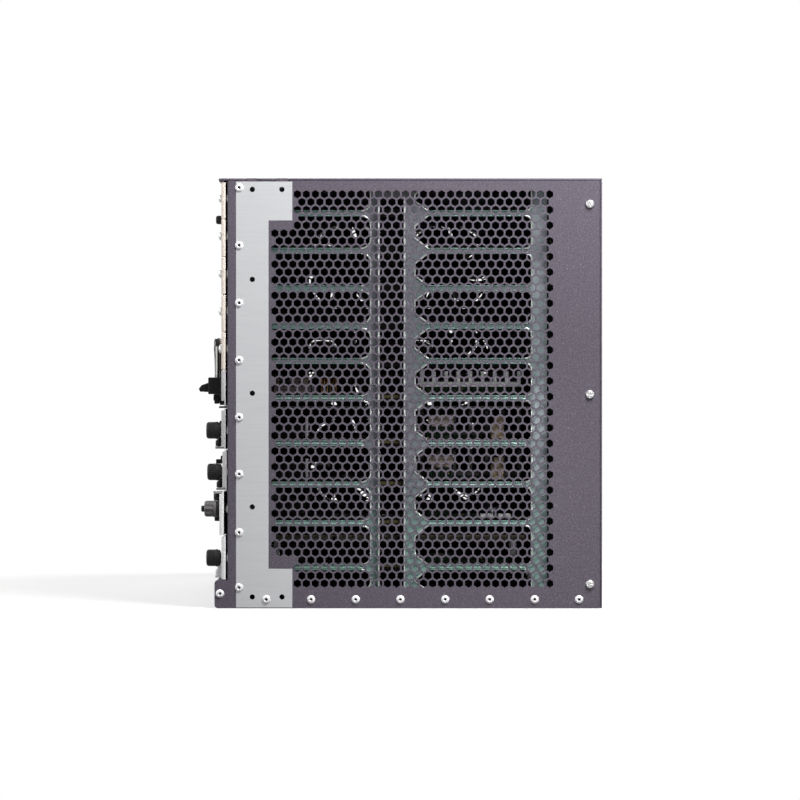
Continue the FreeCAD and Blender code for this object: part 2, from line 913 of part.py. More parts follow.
def make_fan_tray():
    """Front panel with a pull ledge, and a frame stamped with a finger guard for each fan."""
    right, left, foot, head = tray_box()
    panel_left = -half + plate_end
    panel_right = plate_left - tray_gap
    outline = rectangle(panel_left, panel_right, slots_z + row_gap, cover_z - row_gap - seam)
    panel = plate("y", plate_front, plate_back, outline)
    middle_x = (panel_left + panel_right) / 2
    ledge_z = body_height / 2
    profile = [
        (plate_front, ledge_z - pull_height),
        (plate_front - pull_reach, ledge_z - pull_height / 2),
        (plate_front - pull_reach, ledge_z),
        (plate_front, ledge_z),
    ]
    pull = plate("x", middle_x - pull_width / 2, middle_x + pull_width / 2, profile)
    save("fan_tray_panel", join([panel, pull]))
    holes = []
    for y, z in fan_places():
        for dy in (-1, 1):
            for dz in (-1, 1):
                near_y = y + dy * guard_bar / 2
                far_y = y + dy * guard_half
                near_z = z + dz * guard_bar / 2
                far_z = z + dz * guard_half
                holes.append([
                    (near_y, near_z),
                    (far_y, near_z),
                    (far_y, far_z - dz * guard_corner),
                    (far_y - dy * guard_corner, far_z),
                    (near_y, far_z),
                ])
    rear = plate_back + tray_length
    wall = plate("x", right - sheet, right, rectangle(plate_back, rear, foot, head), holes)
    floor = box(left, right - sheet, plate_back, rear, foot, foot + sheet)
    roof = box(left, right - sheet, plate_back, rear, head - sheet, head)
    save("fan_tray_frame", join([wall, floor, roof]))


def fan_housing(y, z, right):
    """Square fan body with a round bore, and a spider with the axle's bearing on its outlet side."""
    left = right - fan_depth
    square = rectangle(y - fan_size / 2, y + fan_size / 2, z - fan_size / 2, z + fan_size / 2)
    body = plate("x", left, right, square, [polygon(y, z, fan_bore, fan_bore_sides)])
    bearing = [drilled(y, z, axle_r + axle_play)]
    disc = plate("x", left, left + spider_depth, polygon(y, z, hub_r, hub_sides), bearing)
    struts = []
    for k in range(strut_count):
        reach = fan_bore + sheet
        strut = box(left, left + spider_depth, hub_r - sheet, reach, -strut_width / 2, strut_width / 2)
        strut.rotate(V(0, 0, 0), V(1, 0, 0), 360.0 * k / strut_count)
        strut.translate(V(0, y, z))
        struts.append(strut)
    return join([body, disc] + struts)


def fan_rotor(y, z, right):
    """Hub with tilted blades on an axle that runs in the housing's bearing."""
    left = right - fan_depth + spider_depth
    hub_left = left + mate_gap
    hub = plate("x", hub_left, hub_left + hub_depth, polygon(y, z, hub_r, hub_sides))
    axle = pin("x", hub_left - axle_length, hub_left + sheet, y, z, axle_r)
    blades = []
    for k in range(blade_count):
        reach = fan_bore * math.cos(math.pi / fan_bore_sides) - fan_tip
        span = math.sqrt(reach ** 2 - (blade_chord / 2) ** 2)
        blade = box(-blade_chord / 2, blade_chord / 2, hub_r / 2, span, -blade_sheet / 2, blade_sheet / 2)
        blade.rotate(V(0, 0, 0), V(0, 1, 0), blade_angle)
        blade.rotate(V(0, 0, 0), V(1, 0, 0), 360.0 * k / blade_count)
        blade.translate(V(hub_left + hub_depth / 2, y, z))
        blades.append(blade)
    return join([hub, axle] + blades)


def make_fans():
    right = tray_box()[0] - sheet
    save("fan_housings", Part.Compound([fan_housing(y, z, right) for y, z in fan_places()]))
    for number, (y, z) in enumerate(fan_places(), 1):
        save(f"fan_rotor_{number}", fan_rotor(y, z, right))


os.makedirs("parts", exist_ok=True)
make_side_panels()
make_top_cover()
make_base_tray()
make_rear_panel()
make_cage_walls()
make_card_guides()
make_card_shelf()
make_backplane()
make_blank_panels()
make_power_card()
for card_name in cards:
    make_card(card_name)
make_fan_tray()
make_fans()
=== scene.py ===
import json
import math

import bmesh
import bpy
from mathutils import Matrix, Vector


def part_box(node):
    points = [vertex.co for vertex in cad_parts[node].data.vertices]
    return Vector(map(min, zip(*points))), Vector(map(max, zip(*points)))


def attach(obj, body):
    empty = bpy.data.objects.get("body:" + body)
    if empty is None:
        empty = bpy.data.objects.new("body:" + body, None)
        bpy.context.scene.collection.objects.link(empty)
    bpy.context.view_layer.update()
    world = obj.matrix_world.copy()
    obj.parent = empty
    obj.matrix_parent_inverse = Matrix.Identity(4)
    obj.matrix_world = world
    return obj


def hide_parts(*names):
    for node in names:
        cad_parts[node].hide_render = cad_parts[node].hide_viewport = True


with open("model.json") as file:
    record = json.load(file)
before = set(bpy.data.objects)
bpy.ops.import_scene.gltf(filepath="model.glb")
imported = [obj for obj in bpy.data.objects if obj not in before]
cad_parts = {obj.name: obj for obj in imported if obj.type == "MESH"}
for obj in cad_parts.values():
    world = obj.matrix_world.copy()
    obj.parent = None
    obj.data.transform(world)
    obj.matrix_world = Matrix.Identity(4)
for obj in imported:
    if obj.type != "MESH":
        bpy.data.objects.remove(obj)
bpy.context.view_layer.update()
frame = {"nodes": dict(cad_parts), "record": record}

# Sizes below are millimetres; meshes are scaled to metres when they become pieces.
MM = 0.001

# Meshes: points nearer than this many metres are one, and angles in degrees for flat, smooth and hard edges
MERGE = 1e-6
FLAT_ANGLE = 1.0
SMOOTH_ANGLE = 35.0
HARD_ANGLE = 40.0

# Chassis, as the solids have it
HALF = 221.0
SHEET = 1.2
FRONT = -106.0
LIP = -114.0
SILL = 17.3
SILL_CORNER = 2.2
REAR = 123.1
COVER = 263.0
HEIGHT = 264.5
TABS = ((-94.4, -87.4), (-76.3, -68.6))
TAB_SLIT = 0.35
FOLD = 0.9
FLANGE = 8.8
FLANGE_FOOT = 17.7
FLANGE_HEAD = 262.8

# Side perforation
HOLE_PITCH = 5.542
HOLE_ROW = 4.79
HOLE_ACROSS = 4.42
HOLE_COLUMNS = 31
HOLE_ROWS = 51
HOLE_FIRST_Y = -74.07
HOLE_FIRST_Z = 15.2
HOLE_NOTCH_Y = -64.5
HOLE_NOTCH_FOOT = 31.0
HOLE_NOTCH_HEAD = 234.5

# Rack ear field and its holes
EAR_R = 1.65
EAR_NEAR = -90.7
EAR_FAR = -72.5
EAR_LEVELS = (6.95, 62.3, 132.3, 202.3, 257.65)
BARE_FRONT = -100.7
BARE_NARROW = -80.7
BARE_WIDE = -66.1
BARE_FOOT = 24.3
BARE_HEAD = 238.6
BARE_LOW = 0.5
BARE_HIGH = 262.5

# Rivets and screws in the sides
RIVET_Y = -98.8
RIVET_LEVELS = (12.7, 46.6, 82.4, 117.4, 152.5, 187.7, 223.2, 258.7)
RIVET_ROW_Z = 5.4
RIVET_ROW = (-82.1, -54.5, -27.1, 0.4, 28.0, 55.3, 83.0, 110.3)
RIVET_SILL = (-110.6, 9.0)
SIDE_SCREW_Y = 117.0
SIDE_SCREWS = (14.9, 131.5, 248.7)

# Slots, from the sill up
SLOT_FOOT = 17.5
SLOTS = (("line", 27.2, 7.5), ("line", 27.2, 7.5), ("control", 25.6, 4.2), ("control", 25.6, 4.2),
         ("power", 22.3, 5.2)) + (("blank", 23.18, 4.4),) * 5
SHELF = 1.2
BOARD_LEVELS = (25.0, 52.2, 76.1, 101.7, 129.5)
BOARD_THICK = 0.8
UPPER_BOARD = (43.3, 44.5)
MASK_DEPTH = 0.08
GUIDE_RISE = 0.7
GUIDE_HALF = 1.0
BAR = 3.0
BAR_DROP = 0.3
BAR_LIFT = 1.5

# Card cage
CAGE_OUT = 211.0
CAGE_IN = 209.8
CAGE_FRONT = -94.3
CAGE_REAR = 91.0
CAGE_FOOT = 1.4
CAGE_HEAD = 262.8
WINDOW_FRONT = (-84.0, -17.9)
WINDOW_REAR = (9.3, 81.6)
WINDOW_POST = (-12.3, 2.4)
WINDOW_ROUND = 5.8
WINDOW_CORNER = 4.0
WINDOW_TIP = (8.2, 6.2)
WINDOW_FOOT = 10.0
WINDOW_HEAD = 261.4
WINDOW_SHARE = 2.2
POST_CORNER = 2.0
POST_FOOT = 12.0
POST_HEAD = 252.4
POST_FLANGE = 5.0
POST_FLANGE_PAST = (1.3, 1.1)
WEB_FOOT = 11.7
WEB_HEAD = 254.0
WEB_GAP = 0.2
CAGE_FOLD = 11.0

# Tones of the cage wall: where it turns teal and gets painted light at the foot, its grey band round the post
# and its pale rear edge
LIT_FOOT = (50.0, 85.0)
GREY_POST = -5.0
GREY_POST_REACH = (12.0, 20.0)
PALE_REAR_EDGE = (80.0, 84.0)

# Rolled rims and ribs of the cage wall, coloured as painted highlights
END_RIM = 0.72
BAR_RIM = 0.4
BAR_RIB = 0.5
RIB_DROP = 0.1
RIB_INSET = (3.0, 5.0)
RIB_REAR_INSET = 4.0
POST_BEAD = 0.75
POST_BEAD_PAST = 1.0

# Front hardware
PLATE_FRONT = -109.8
PORT_PITCH = 14.25
PORT_PROUD = 0.7
CAGES_RIGHT = 143.6
CAGE_VENT = 1.5
CAGE_VENT_PITCH = 7.0
CAGE_VENT_START = 4.0
CAGE_SEAM = 0.35
CAGE_SHADED_END = 0.3
KNOB_RIGHT = 215.4
KNOB_LEFT = -164.15
CARDS = ("line_card_1", "line_card_2", "control_card_1", "control_card_2")
TRAY_SCREW_X = -215.4
TRAY_SCREWS = (42.0, 238.2)

# Camera, at the right side and level with the middle of the body; its far end is in metres
VIEW_DISTANCE = 2100.0
VIEW_WIDTH = 492.1
VIEW_Y = 0.15
VIEW_Z = 128.1
VIEW_END = 50.0
SENSOR = 36.0

record = frame["record"]
BODY_OF = {node: body for body, nodes in record["behaviour"]["bodies"].items() for node in nodes}
SLOT_OF = {part["node"]: part["material_slot"] for part in record["subparts"]}


class Wire:
    """A node socket. Arithmetic on it adds Math nodes, and node() adds any other node to its tree."""

    def __init__(self, tree, socket=None):
        self.tree = tree
        self.socket = socket

    def feed(self, target, value):
        """Links a wire to a socket, or sets a plain value on it."""
        if isinstance(value, Wire):
            self.tree.links.new(value.socket, target)
        else:
            target.default_value = value

    def node(self, kind, settings=None, sockets=None, out=0):
        """Adds a node: settings first, then the values or wires of its sockets."""
        made = self.tree.nodes.new(kind)
        for name, value in (settings or {}).items():
            setattr(made, name, value)
        for key, value in (sockets or {}).items():
            self.feed(made.inputs[key], value)
        return Wire(self.tree, made.outputs[out] if made.outputs else None)

    def math(self, operation, other=0.0, swapped=False):
        """One Math node with this wire and another wire or number."""
        pair = {0: other, 1: self} if swapped else {0: self, 1: other}
        return self.node("ShaderNodeMath", {"operation": operation}, pair)

    def __add__(self, other):
        return self.math("ADD", other)

    def __radd__(self, other):
        return self.math("ADD", other, True)

    def __sub__(self, other):
        return self.math("SUBTRACT", other)

    def __rsub__(self, other):
        return self.math("SUBTRACT", other, True)

    def __mul__(self, other):
        return self.math("MULTIPLY", other)

    def __rmul__(self, other):
        return self.math("MULTIPLY", other, True)

    def __truediv__(self, other):
        return self.math("DIVIDE", other)

    def __mod__(self, other):
        return self.math("FLOORED_MODULO", other)

    def __gt__(self, other):
        return self.math("GREATER_THAN", other)

    def __lt__(self, other):
        return self.math("LESS_THAN", other)


def colour(red, green, blue):
    """A colour as it is seen on a screen, 0 to 255, turned into light."""
    def light(value):
        """One channel."""
        value /= 255.0
        return value / 12.92 if value <= 0.04045 else ((value + 0.055) / 1.055) ** 2.4
    return (light(red), light(green), light(blue), 1.0)


def surface(name, make):
    """A material whose Principled sockets come from make(start): a dict of values and wires."""
    material = bpy.data.materials.new(name)
    material.use_nodes = True
    material.node_tree.nodes.clear()
    start = Wire(material.node_tree)
    shader = start.node("ShaderNodeBsdfPrincipled", {}, make(start))
    start.node("ShaderNodeOutputMaterial", {}, {"Surface": shader})
    return material


def place(start):
    """Position on the piece, in metres."""
    return start.node("ShaderNodeTexCoord", out="Object")


def axis_of(where, axis):
    """One coordinate of a position."""
    return where.node("ShaderNodeSeparateXYZ", {}, {0: where}, axis)


def noise(where, scale, detail=2.0, roughness=0.5):
    """Soft noise from 0 to 1, with its scale in repeats per metre."""
    sockets = {"Vector": where, "Scale": scale, "Detail": detail, "Roughness": roughness}
    return where.node("ShaderNodeTexNoise", {}, sockets, "Fac")


def stretched(where, x, y, z):
    """The same place with each axis stretched, for brushed and rolled grain."""
    return where.node("ShaderNodeMapping", {}, {"Vector": where, "Scale": (x, y, z)})


def rolled_grain(where):
    """Level grain of rolled sheet."""
    return noise(stretched(where, 30.0, 30.0, 500.0), 1.0, 3.0)


def blend(amount, first, second):
    """Mixes two colours."""
    settings = {"data_type": "RGBA", "clamp_factor": True}
    return amount.node("ShaderNodeMix", settings, {0: amount, 6: first, 7: second}, 2)


def bump(height, strength, distance):
    """A normal from a height."""
    sockets = {"Height": height, "Strength": strength, "Distance": distance}
    return height.node("ShaderNodeBump", {}, sockets)


def step(value, low, high):
    """0 below low, 1 above high and a straight ramp between."""
    sockets = {"Value": value, "From Min": low, "From Max": high}
    return value.node("ShaderNodeMapRange", {"clamp": True}, sockets)


def bare_field(where):
    """1 inside the bare field that the paint leaves for the rack ear, 0 on the paint."""
    y = axis_of(where, "Y")
    z = axis_of(where, "Z")
    ends = (z > BARE_HEAD * MM) + (z < BARE_FOOT * MM)
    edge = BARE_NARROW * MM + ends * ((BARE_WIDE - BARE_NARROW) * MM)
    across = (y > BARE_FRONT * MM) * (edge > y)
    return across * (z > BARE_LOW * MM) * (z < BARE_HIGH * MM)


def powder_coat(start, bare=False):
    """Grey-violet powder coat with fine light and dark specks, and the bare field if there is one."""
    where = place(start)
    grain = step(noise(where, 900.0, 3.0, 0.65), 0.3, 0.7)
    cloud = noise(where, 14.0)
    speck = step(noise(where, 1500.0, 1.0), 0.62, 0.72)
    paint = blend(grain, colour(83, 77, 88), colour(108, 102, 113))
    paint = blend(cloud * 0.4, paint, colour(91, 85, 96))
    paint = blend(speck * 0.5, paint, colour(140, 134, 142))
    rough = 0.56 - grain * 0.12
    if not bare:
        return {"Base Color": paint, "Roughness": rough, "Specular IOR Level": 0.12,
                "Normal": bump(grain, 0.25, 0.0002)}
    field = bare_field(where)
    rolled = noise(stretched(where, 60.0, 40.0, 700.0), 1.0, 3.0)
    metal = blend(rolled, colour(199, 200, 203), colour(211, 212, 214))
    return {
        "Base Color": blend(field, paint, metal),
        "Roughness": rough + field * -0.16,
        "Metallic": field * 0.25,
        "Specular IOR Level": 0.12,
        "Normal": bump(grain * (1.0 - field), 0.25, 0.0002),
    }


def plated(start, dark, pale, rough, metal=0.85):
    """Zinc or nickel plate with a faint spangle and rolled grain."""
    where = place(start)
    cells = {"Vector": where, "Scale": 180.0}
    spangle = start.node("ShaderNodeTexVoronoi", {"feature": "F1"}, cells, "Color")
    spangle = start.node("ShaderNodeSeparateColor", {}, {0: spangle})
    rolled = rolled_grain(where)
    tone = spangle * 0.12 + rolled * 0.88
    return {
        "Base Color": blend(tone, dark, pale),
        "Roughness": rough + tone * 0.12,
        "Metallic": metal,
        "Normal": bump(rolled, 0.1, 0.0001),
    }


def blued_zinc(start):
    """Passivated zinc: teal at the foot, brightened there with painted light, drifting to grey above, with a
    grey post and a pale rear edge.
    """
    where = place(start)
    y = axis_of(where, "Y") / MM
    z = axis_of(where, "Z") / MM
    foot = 1.0 - step(z, *LIT_FOOT)
    upper = 1.0 - foot * 0.85
    post = 1.0 - step((y - GREY_POST).math("ABSOLUTE"), *GREY_POST_REACH)
    drift = step(noise(where, 11.0), 0.36, 0.62).math("MAXIMUM", post) * upper
    pale = step(y, *PALE_REAR_EDGE) * step(noise(where, 40.0), 0.3, 0.6) * upper
    rolled = rolled_grain(where)
    teal = blend(rolled, colour(108, 138, 133), colour(140, 168, 162))
    # Painted light: the teal is lightened towards the foot, for the pools and glints of light that fall
    # through the holes onto the lower wall.
    teal = blend(foot * 0.7, teal, colour(168, 208, 199))
    grey = blend(rolled, colour(136, 139, 147), colour(160, 163, 171))
    return {
        "Base Color": blend(pale * 0.9, blend(drift, teal, grey), colour(214, 226, 232)),
        "Roughness": 0.4 + rolled * 0.14,
        "Metallic": 0.15,
        "Normal": bump(rolled, 0.1, 0.0001),
    }


def satin_paint(start, dark, pale):
    """Smooth paint with a faint orange peel and a little handling."""
    where = place(start)
    peel = noise(where, 420.0, 2.0)
    cloud = noise(where, 18.0, 4.0)
    return {
        "Base Color": blend(step(cloud, 0.3, 0.7), dark, pale),
        "Roughness": 0.46 + cloud * 0.12,
        "Normal": bump(peel, 0.12, 0.0002),
    }


def moulded(start, dark, pale, rough=0.5, shine=0.5):
    """Moulded plastic with a fine spark-eroded grain."""
    where = place(start)
    grain = noise(where, 1800.0, 2.0)
    cloud = noise(where, 60.0, 3.0)
    return {
        "Base Color": blend(cloud, dark, pale),
        "Roughness": rough + grain * 0.15,
        "Specular IOR Level": shine,
        "Normal": bump(grain, 0.2, 0.0001),
    }


def guide_moulding(start):
    """Card guides: near black, olive along the boards that they hold."""
    where = place(start)
    z = axis_of(where, "Z") / MM
    grain = noise(where, 900.0)
    black = blend(grain, colour(12, 12, 12), colour(20, 19, 18))
    olive = blend(grain, colour(84, 80, 54), colour(104, 99, 70))
    held = 0.0
    for level in BOARD_LEVELS:
        held = held + ((z - (level + GUIDE_RISE)).math("ABSOLUTE") < GUIDE_HALF)
    return {
        "Base Color": blend(held, black, olive),
        "Roughness": 0.6 + grain * 0.15,
        "Specular IOR Level": 0.1,
        "Normal": bump(grain, 0.2, 0.0001),
    }


def cage_metal(start):
    """Nickel port cages: a seam for every port, near-black discs of painted shade for its air holes, and
    painted shade on the right end.
    """
    where = place(start)
    x = axis_of(where, "X") / MM
    y = axis_of(where, "Y") / MM
    across = (x - CAGES_RIGHT) % PORT_PITCH - PORT_PITCH / 2
    along = y % CAGE_VENT_PITCH - CAGE_VENT_PITCH / 2
    vent_shade = (across * across + along * along < CAGE_VENT ** 2) * (y > PLATE_FRONT + CAGE_VENT_START)
    seam = across.math("ABSOLUTE") > PORT_PITCH / 2 - CAGE_SEAM
    end = x > CAGES_RIGHT - CAGE_SHADED_END
    rolled = rolled_grain(where)
    nickel = blend(rolled, colour(178, 178, 174), colour(206, 206, 202))
    # Painted shade: the air holes and the right end are near black, for the shade inside the holes and along
    # the cages' hidden side; the seams are dark joints.
    dark = vent_shade.math("MAXIMUM", seam).math("MAXIMUM", end)
    return {
        "Base Color": blend(dark, nickel, colour(20, 20, 21)),
        "Roughness": 0.34 + rolled * 0.12,
        "Metallic": 0.7,
        "Normal": bump(rolled, 0.1, 0.0001),
    }


def board_mask(start):
    """Green solder mask with copper runs under it and pale pads."""
    where = place(start)
    courses = {"Vector": where, "Scale": 90.0, "Mortar Size": 0.03, "Brick Width": 0.9, "Row Height": 0.22}
    runs = start.node("ShaderNodeTexBrick", {"offset": 0.5, "squash": 0.6}, courses, "Fac")
    pads = step(noise(where, 520.0, 1.0), 0.66, 0.7)
    mask = blend(runs, colour(10, 27, 17), colour(21, 46, 28))
    return {
        "Base Color": blend(pads, mask, colour(120, 112, 80)),
        "Roughness": 0.6 + pads * 0.1,
        "Specular IOR Level": 0.15,
        "Normal": bump(runs, 0.2, 0.0001),
    }


def upper_board_mask(start):
    """Upper board of the lowest card: solder mask on its faces, bare glass fibre round its edge."""
    sockets = board_mask(start)
    where = place(start)
    z = axis_of(where, "Z") / MM
    low, high = UPPER_BOARD
    face = (z - (low + high) / 2).math("ABSOLUTE") > (high - low) / 2 - MASK_DEPTH
    fibre = blend(noise(where, 60.0, 3.0), colour(84, 78, 64), colour(100, 92, 78))
    sockets["Base Color"] = blend(face, fibre, sockets["Base Color"])
    sockets["Specular IOR Level"] = 0.3
    return sockets


# Plated and bare metals: dark and pale tone, roughness, and the share of metal if it is unusual
PLATED = {
    # Painted shade: zinc darkened for the far cage wall and the fan tray frame, which lie in the shadow
    # inside the body
    "painted_shade_zinc": ((62, 66, 68), (84, 88, 90), 0.5, 0.5),
    "sink_aluminium": ((176, 178, 180), (206, 207, 208), 0.34),
    "rivet_metal": ((232, 230, 234), (248, 247, 250), 0.36, 0.2),
    "dark_steel": ((40, 40, 42), (62, 62, 64), 0.5),
    # Painted highlights: near white and light teal, far brighter than the cage's zinc, for the light that
    # rims, bars, ribs and the handle's strip catch
    "painted_highlight": ((240, 246, 244), (250, 252, 251), 0.2, 0.5),
    "bar_painted_highlight": ((130, 168, 160), (158, 192, 184), 0.28, 0.5),
    "rib_painted_highlight": ((190, 232, 222), (214, 242, 234), 0.24, 0.5),
    "screw_metal": ((196, 196, 196), (222, 222, 222), 0.26),
    "spring_steel": ((160, 160, 160), (196, 196, 196), 0.3),
    "winding": ((104, 76, 42), (164, 128, 78), 0.35),
    "can_metal": ((150, 152, 156), (184, 186, 190), 0.3),
}

# Moulded plastics, foam and blocks: dark and pale tone, and roughness and shine if they are unusual
MOULDED = {
    "black_plastic": ((15, 15, 16), (24, 24, 25), 0.5, 0.2),
    "lever_plastic": ((212, 212, 214), (224, 224, 226)),
    "gloss_black": ((16, 16, 17), (24, 24, 25), 0.1),
    "grey_knob": ((78, 75, 77), (94, 91, 93)),
    "black_knob": ((16, 15, 15), (26, 25, 25), 0.45, 0.25),
    "beige_block": ((188, 172, 164), (204, 188, 180)),
    "mauve_block": ((104, 90, 94), (122, 107, 111)),
    "brown_block": ((150, 134, 112), (168, 150, 126)),
    "olive_block": ((44, 41, 28), (58, 53, 38)),
    # Painted shade: near black for the discs in the lowest ear holes
    "painted_hole_shade": ((5, 5, 5), (9, 9, 9), 0.8, 0.0),
    "led_lens": ((150, 196, 158), (176, 214, 180), 0.2),
    "black_sink": ((20, 20, 21), (30, 30, 31), 0.45),
    "chip_black": ((30, 30, 32), (44, 44, 46), 0.55),
    # Dust plugs, dark also to stand in for the shade inside the ports' mouths
    "port_plug_and_shade": ((44, 44, 46), (58, 58, 60), 0.5),
    "foam_black": ((14, 14, 15), (22, 22, 23), 0.8, 0.1),
}

# Satin paints: dark and pale tone
PAINTED = {
    "cream_paint": ((220, 208, 197), (232, 221, 211)),
    "grey_paint": ((182, 180, 182), (194, 192, 194)),
    "white_paint": ((236, 236, 238), (244, 244, 245)),
    # Near black for the card shelf; the shelf's own colour is not known
    "black_paint": ((22, 22, 23), (34, 34, 35)),
}

# Finishes that have a function of their own
SPECIAL = {
    "body_paint": powder_coat,
    "side_paint": lambda start: powder_coat(start, True),
    "plated_steel": blued_zinc,
    "guide_plastic": guide_moulding,
    "circuit_board": board_mask,
    "upper_board": upper_board_mask,
    "port_metal": cage_metal,
}


def make_finishes():
    """Every finish of the object, by name."""
    made = {name: surface(name, make) for name, make in SPECIAL.items()}
    for kind, table in ((plated, PLATED), (moulded, MOULDED), (satin_paint, PAINTED)):
        for name, (dark, pale, *rest) in table.items():
            made[name] = surface(name, lambda start: kind(start, colour(*dark), colour(*pale), *rest))
    return made


finishes = make_finishes()


def linked(name, data):
    """A new object in the scene."""
    obj = bpy.data.objects.new(name, data)
    bpy.context.scene.collection.objects.link(obj)
    return obj


def discard(*helpers):
    """Takes objects that only served as patterns out again."""
    for helper in helpers:
        bpy.data.objects.remove(helper)


def declare(obj, body, slot, *nodes):
    """Says what a piece rides on and which solids it stands for; the slot is not used."""
    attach(obj, body)
    if nodes:
        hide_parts(*nodes)
    return obj


def piece(name, bm, finish, smooth=None):
    """Turns a bmesh in millimetres into an object in metres, shaded smooth below an angle if one is given."""
    bmesh.ops.scale(bm, vec=(MM, MM, MM), verts=bm.verts)
    mesh = bpy.data.meshes.new(name)
    bm.to_mesh(mesh)
    bm.free()
    mesh.materials.append(finishes[finish])
    if smooth is not None:
        mesh.shade_smooth()
        mesh.set_sharp_from_angle(angle=math.radians(smooth))
    return linked(name, mesh)


def face_outwards(bm):
    """Turns the faces of closed shapes outwards."""
    bmesh.ops.recalc_face_normals(bm, faces=bm.faces)


def block(bm, low, high):
    """A box between two corners."""
    centre = (Vector(low) + Vector(high)) / 2
    size = Vector(high) - Vector(low)
    matrix = Matrix.Translation(centre) @ Matrix.Diagonal((*size, 1.0))
    return bmesh.ops.create_cube(bm, size=1.0, matrix=matrix)["verts"]


def span(node):
    """Lowest and highest corner of a solid, in millimetres."""
    low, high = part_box(node)
    return Vector(low) / MM, Vector(high) / MM


def soften(obj, width, segments=2):
    """Rounds the hard edges of a piece a little."""
    bevel = obj.modifiers.new("edge", "BEVEL")
    bevel.width = width * MM
    bevel.segments = segments
    bevel.limit_method = "ANGLE"
    bevel.angle_limit = math.radians(HARD_ANGLE)
    bevel.harden_normals = True
    obj.data.shade_smooth()
    return obj


def eased(node, finish, width):
    """A copy of a solid with its edges rounded, in its place."""
    bm = bmesh.new()
    bm.from_mesh(frame["nodes"][node].data)
    bmesh.ops.remove_doubles(bm, verts=bm.verts, dist=MERGE)
    flat = math.radians(FLAT_ANGLE)
    bmesh.ops.dissolve_limit(bm, angle_limit=flat, verts=bm.verts, edges=bm.edges)
    bmesh.ops.scale(bm, vec=(1 / MM,) * 3, verts=bm.verts)
    obj = piece(f"{node}_skin", bm, finish)
    soften(obj, width)
    return declare(obj, BODY_OF[node], SLOT_OF[node], node)


def skin(bm, rings, sides):
    """Faces between neighbouring rings; a ring of one point closes to a tip."""
    for lower, upper in zip(rings, rings[1:]):
        for k in range(sides):
            after = (k + 1) % sides
            corners = [lower[k % len(lower)], lower[after % len(lower)],
                       upper[after % len(upper)], upper[k % len(upper)]]
            bm.faces.new(list(dict.fromkeys(corners)))


def lathe(bm, profile, sides, matrix):
    """Turns a profile of (radius, height) about Z and closes it, then places it."""
    angles = [2 * math.pi * k / sides for k in range(sides)]
    rings = []
    for radius, height in profile:
        if radius == 0.0:
            rings.append([bm.verts.new((0, 0, height))])
        else:
            spots = [(radius * math.cos(t), radius * math.sin(t), height) for t in angles]
            rings.append([bm.verts.new(spot) for spot in spots])
    skin(bm, rings, sides)
    bmesh.ops.transform(bm, matrix=matrix, verts=[vert for ring in rings for vert in ring])


def loop_mesh(name, loops, closed=True):
    """Loops or open paths in a plane, as edges in metres."""
    verts = []
    edges = []
    for loop in loops:
        first = len(verts)
        count = len(loop)
        verts += [(a * MM, b * MM, 0.0) for a, b in loop]
        edges += [(first + k, first + (k + 1) % count) for k in range(count if closed else count - 1)]
    mesh = bpy.data.meshes.new(name)
    mesh.from_pydata(verts, edges, [])
    return mesh


def point_mesh(name, points):
    """Loose points in metres."""
    mesh = bpy.data.meshes.new(name)
    mesh.from_pydata([tuple(Vector(p) * MM) for p in points], [], [])
    return mesh


def arc(a, b, radius, start, end, steps=5):
    """Points along an arc, with angles in degrees."""
    angles = [math.radians(start + (end - start) * k / steps) for k in range(steps + 1)]
    return [(a + radius * math.cos(t), b + radius * math.sin(t)) for t in angles]


def rounded(a0, a1, b0, b1, radius):
    """A rectangle with rounded corners."""
    low, high = b0 + radius, b1 - radius
    near, far = a0 + radius, a1 - radius
    return (arc(near, low, radius, 180, 270) + arc(far, low, radius, 270, 360)
            + arc(far, high, radius, 0, 90) + arc(near, high, radius, 90, 180))


def circle(a, b, radius, sides=24):
    """A round loop."""
    return arc(a, b, radius, 0, 360 - 360 / sides, sides - 1)


def new_tree(name, inputs):
    """A Geometry Nodes tree with named inputs; returns it with a wire for each."""
    tree = bpy.data.node_groups.new(name, "GeometryNodeTree")
    tree.interface.new_socket("Geometry", in_out="INPUT", socket_type="NodeSocketGeometry")
    for label, kind in inputs:
        tree.interface.new_socket(label, in_out="INPUT", socket_type=f"NodeSocket{kind}")
    tree.interface.new_socket("Geometry", in_out="OUTPUT", socket_type="NodeSocketGeometry")
    source = tree.nodes.new("NodeGroupInput")
    wires = {socket.name: Wire(tree, socket) for socket in source.outputs if socket.name}
    return tree, wires


def end_tree(geometry, material):
    """Realizes what a tree made, gives it its material and ends the tree."""
    real = geometry.node("GeometryNodeRealizeInstances", {}, {0: geometry})
    clad = real.node("GeometryNodeSetMaterial", {}, {"Geometry": real, "Material": material})
    clad.node("NodeGroupOutput", {}, {0: clad})


def joined(*wires):
    """The geometry of several wires as one."""
    tree = wires[0].tree
    join = tree.nodes.new("GeometryNodeJoinGeometry")
    for wire in wires:
        tree.links.new(wire.socket, join.inputs[0])
    return Wire(tree, join.outputs[0])


def thickened(flat, thickness):
    """A thin mesh as a closed plate."""
    top = flat.node("GeometryNodeExtrudeMesh", {"mode": "FACES"}, {
        "Mesh": flat, "Offset Scale": thickness, "Individual": False})
    under = flat.node("GeometryNodeFlipFaces", {}, {"Mesh": flat})
    both = joined(top, under)
    return flat.node("GeometryNodeMergeByDistance", {}, {"Geometry": both, "Distance": MERGE})


def points_of(mesh):
    """The points of a mesh, for copies to stand on."""
    return mesh.node("GeometryNodeMeshToPoints", {}, {"Mesh": mesh})


def copies(points, part, **turn_and_scale):
    """A copy of a part on every point."""
    sockets = {"Points": points, "Instance": part, **turn_and_scale}
    return points.node("GeometryNodeInstanceOnPoints", {}, sockets)


def rotation(axis, angle):
    """A turn about one axis."""
    turn = angle.node("ShaderNodeCombineXYZ", {}, {axis: angle})
    return angle.node("FunctionNodeEulerToRotation", {}, {0: turn})


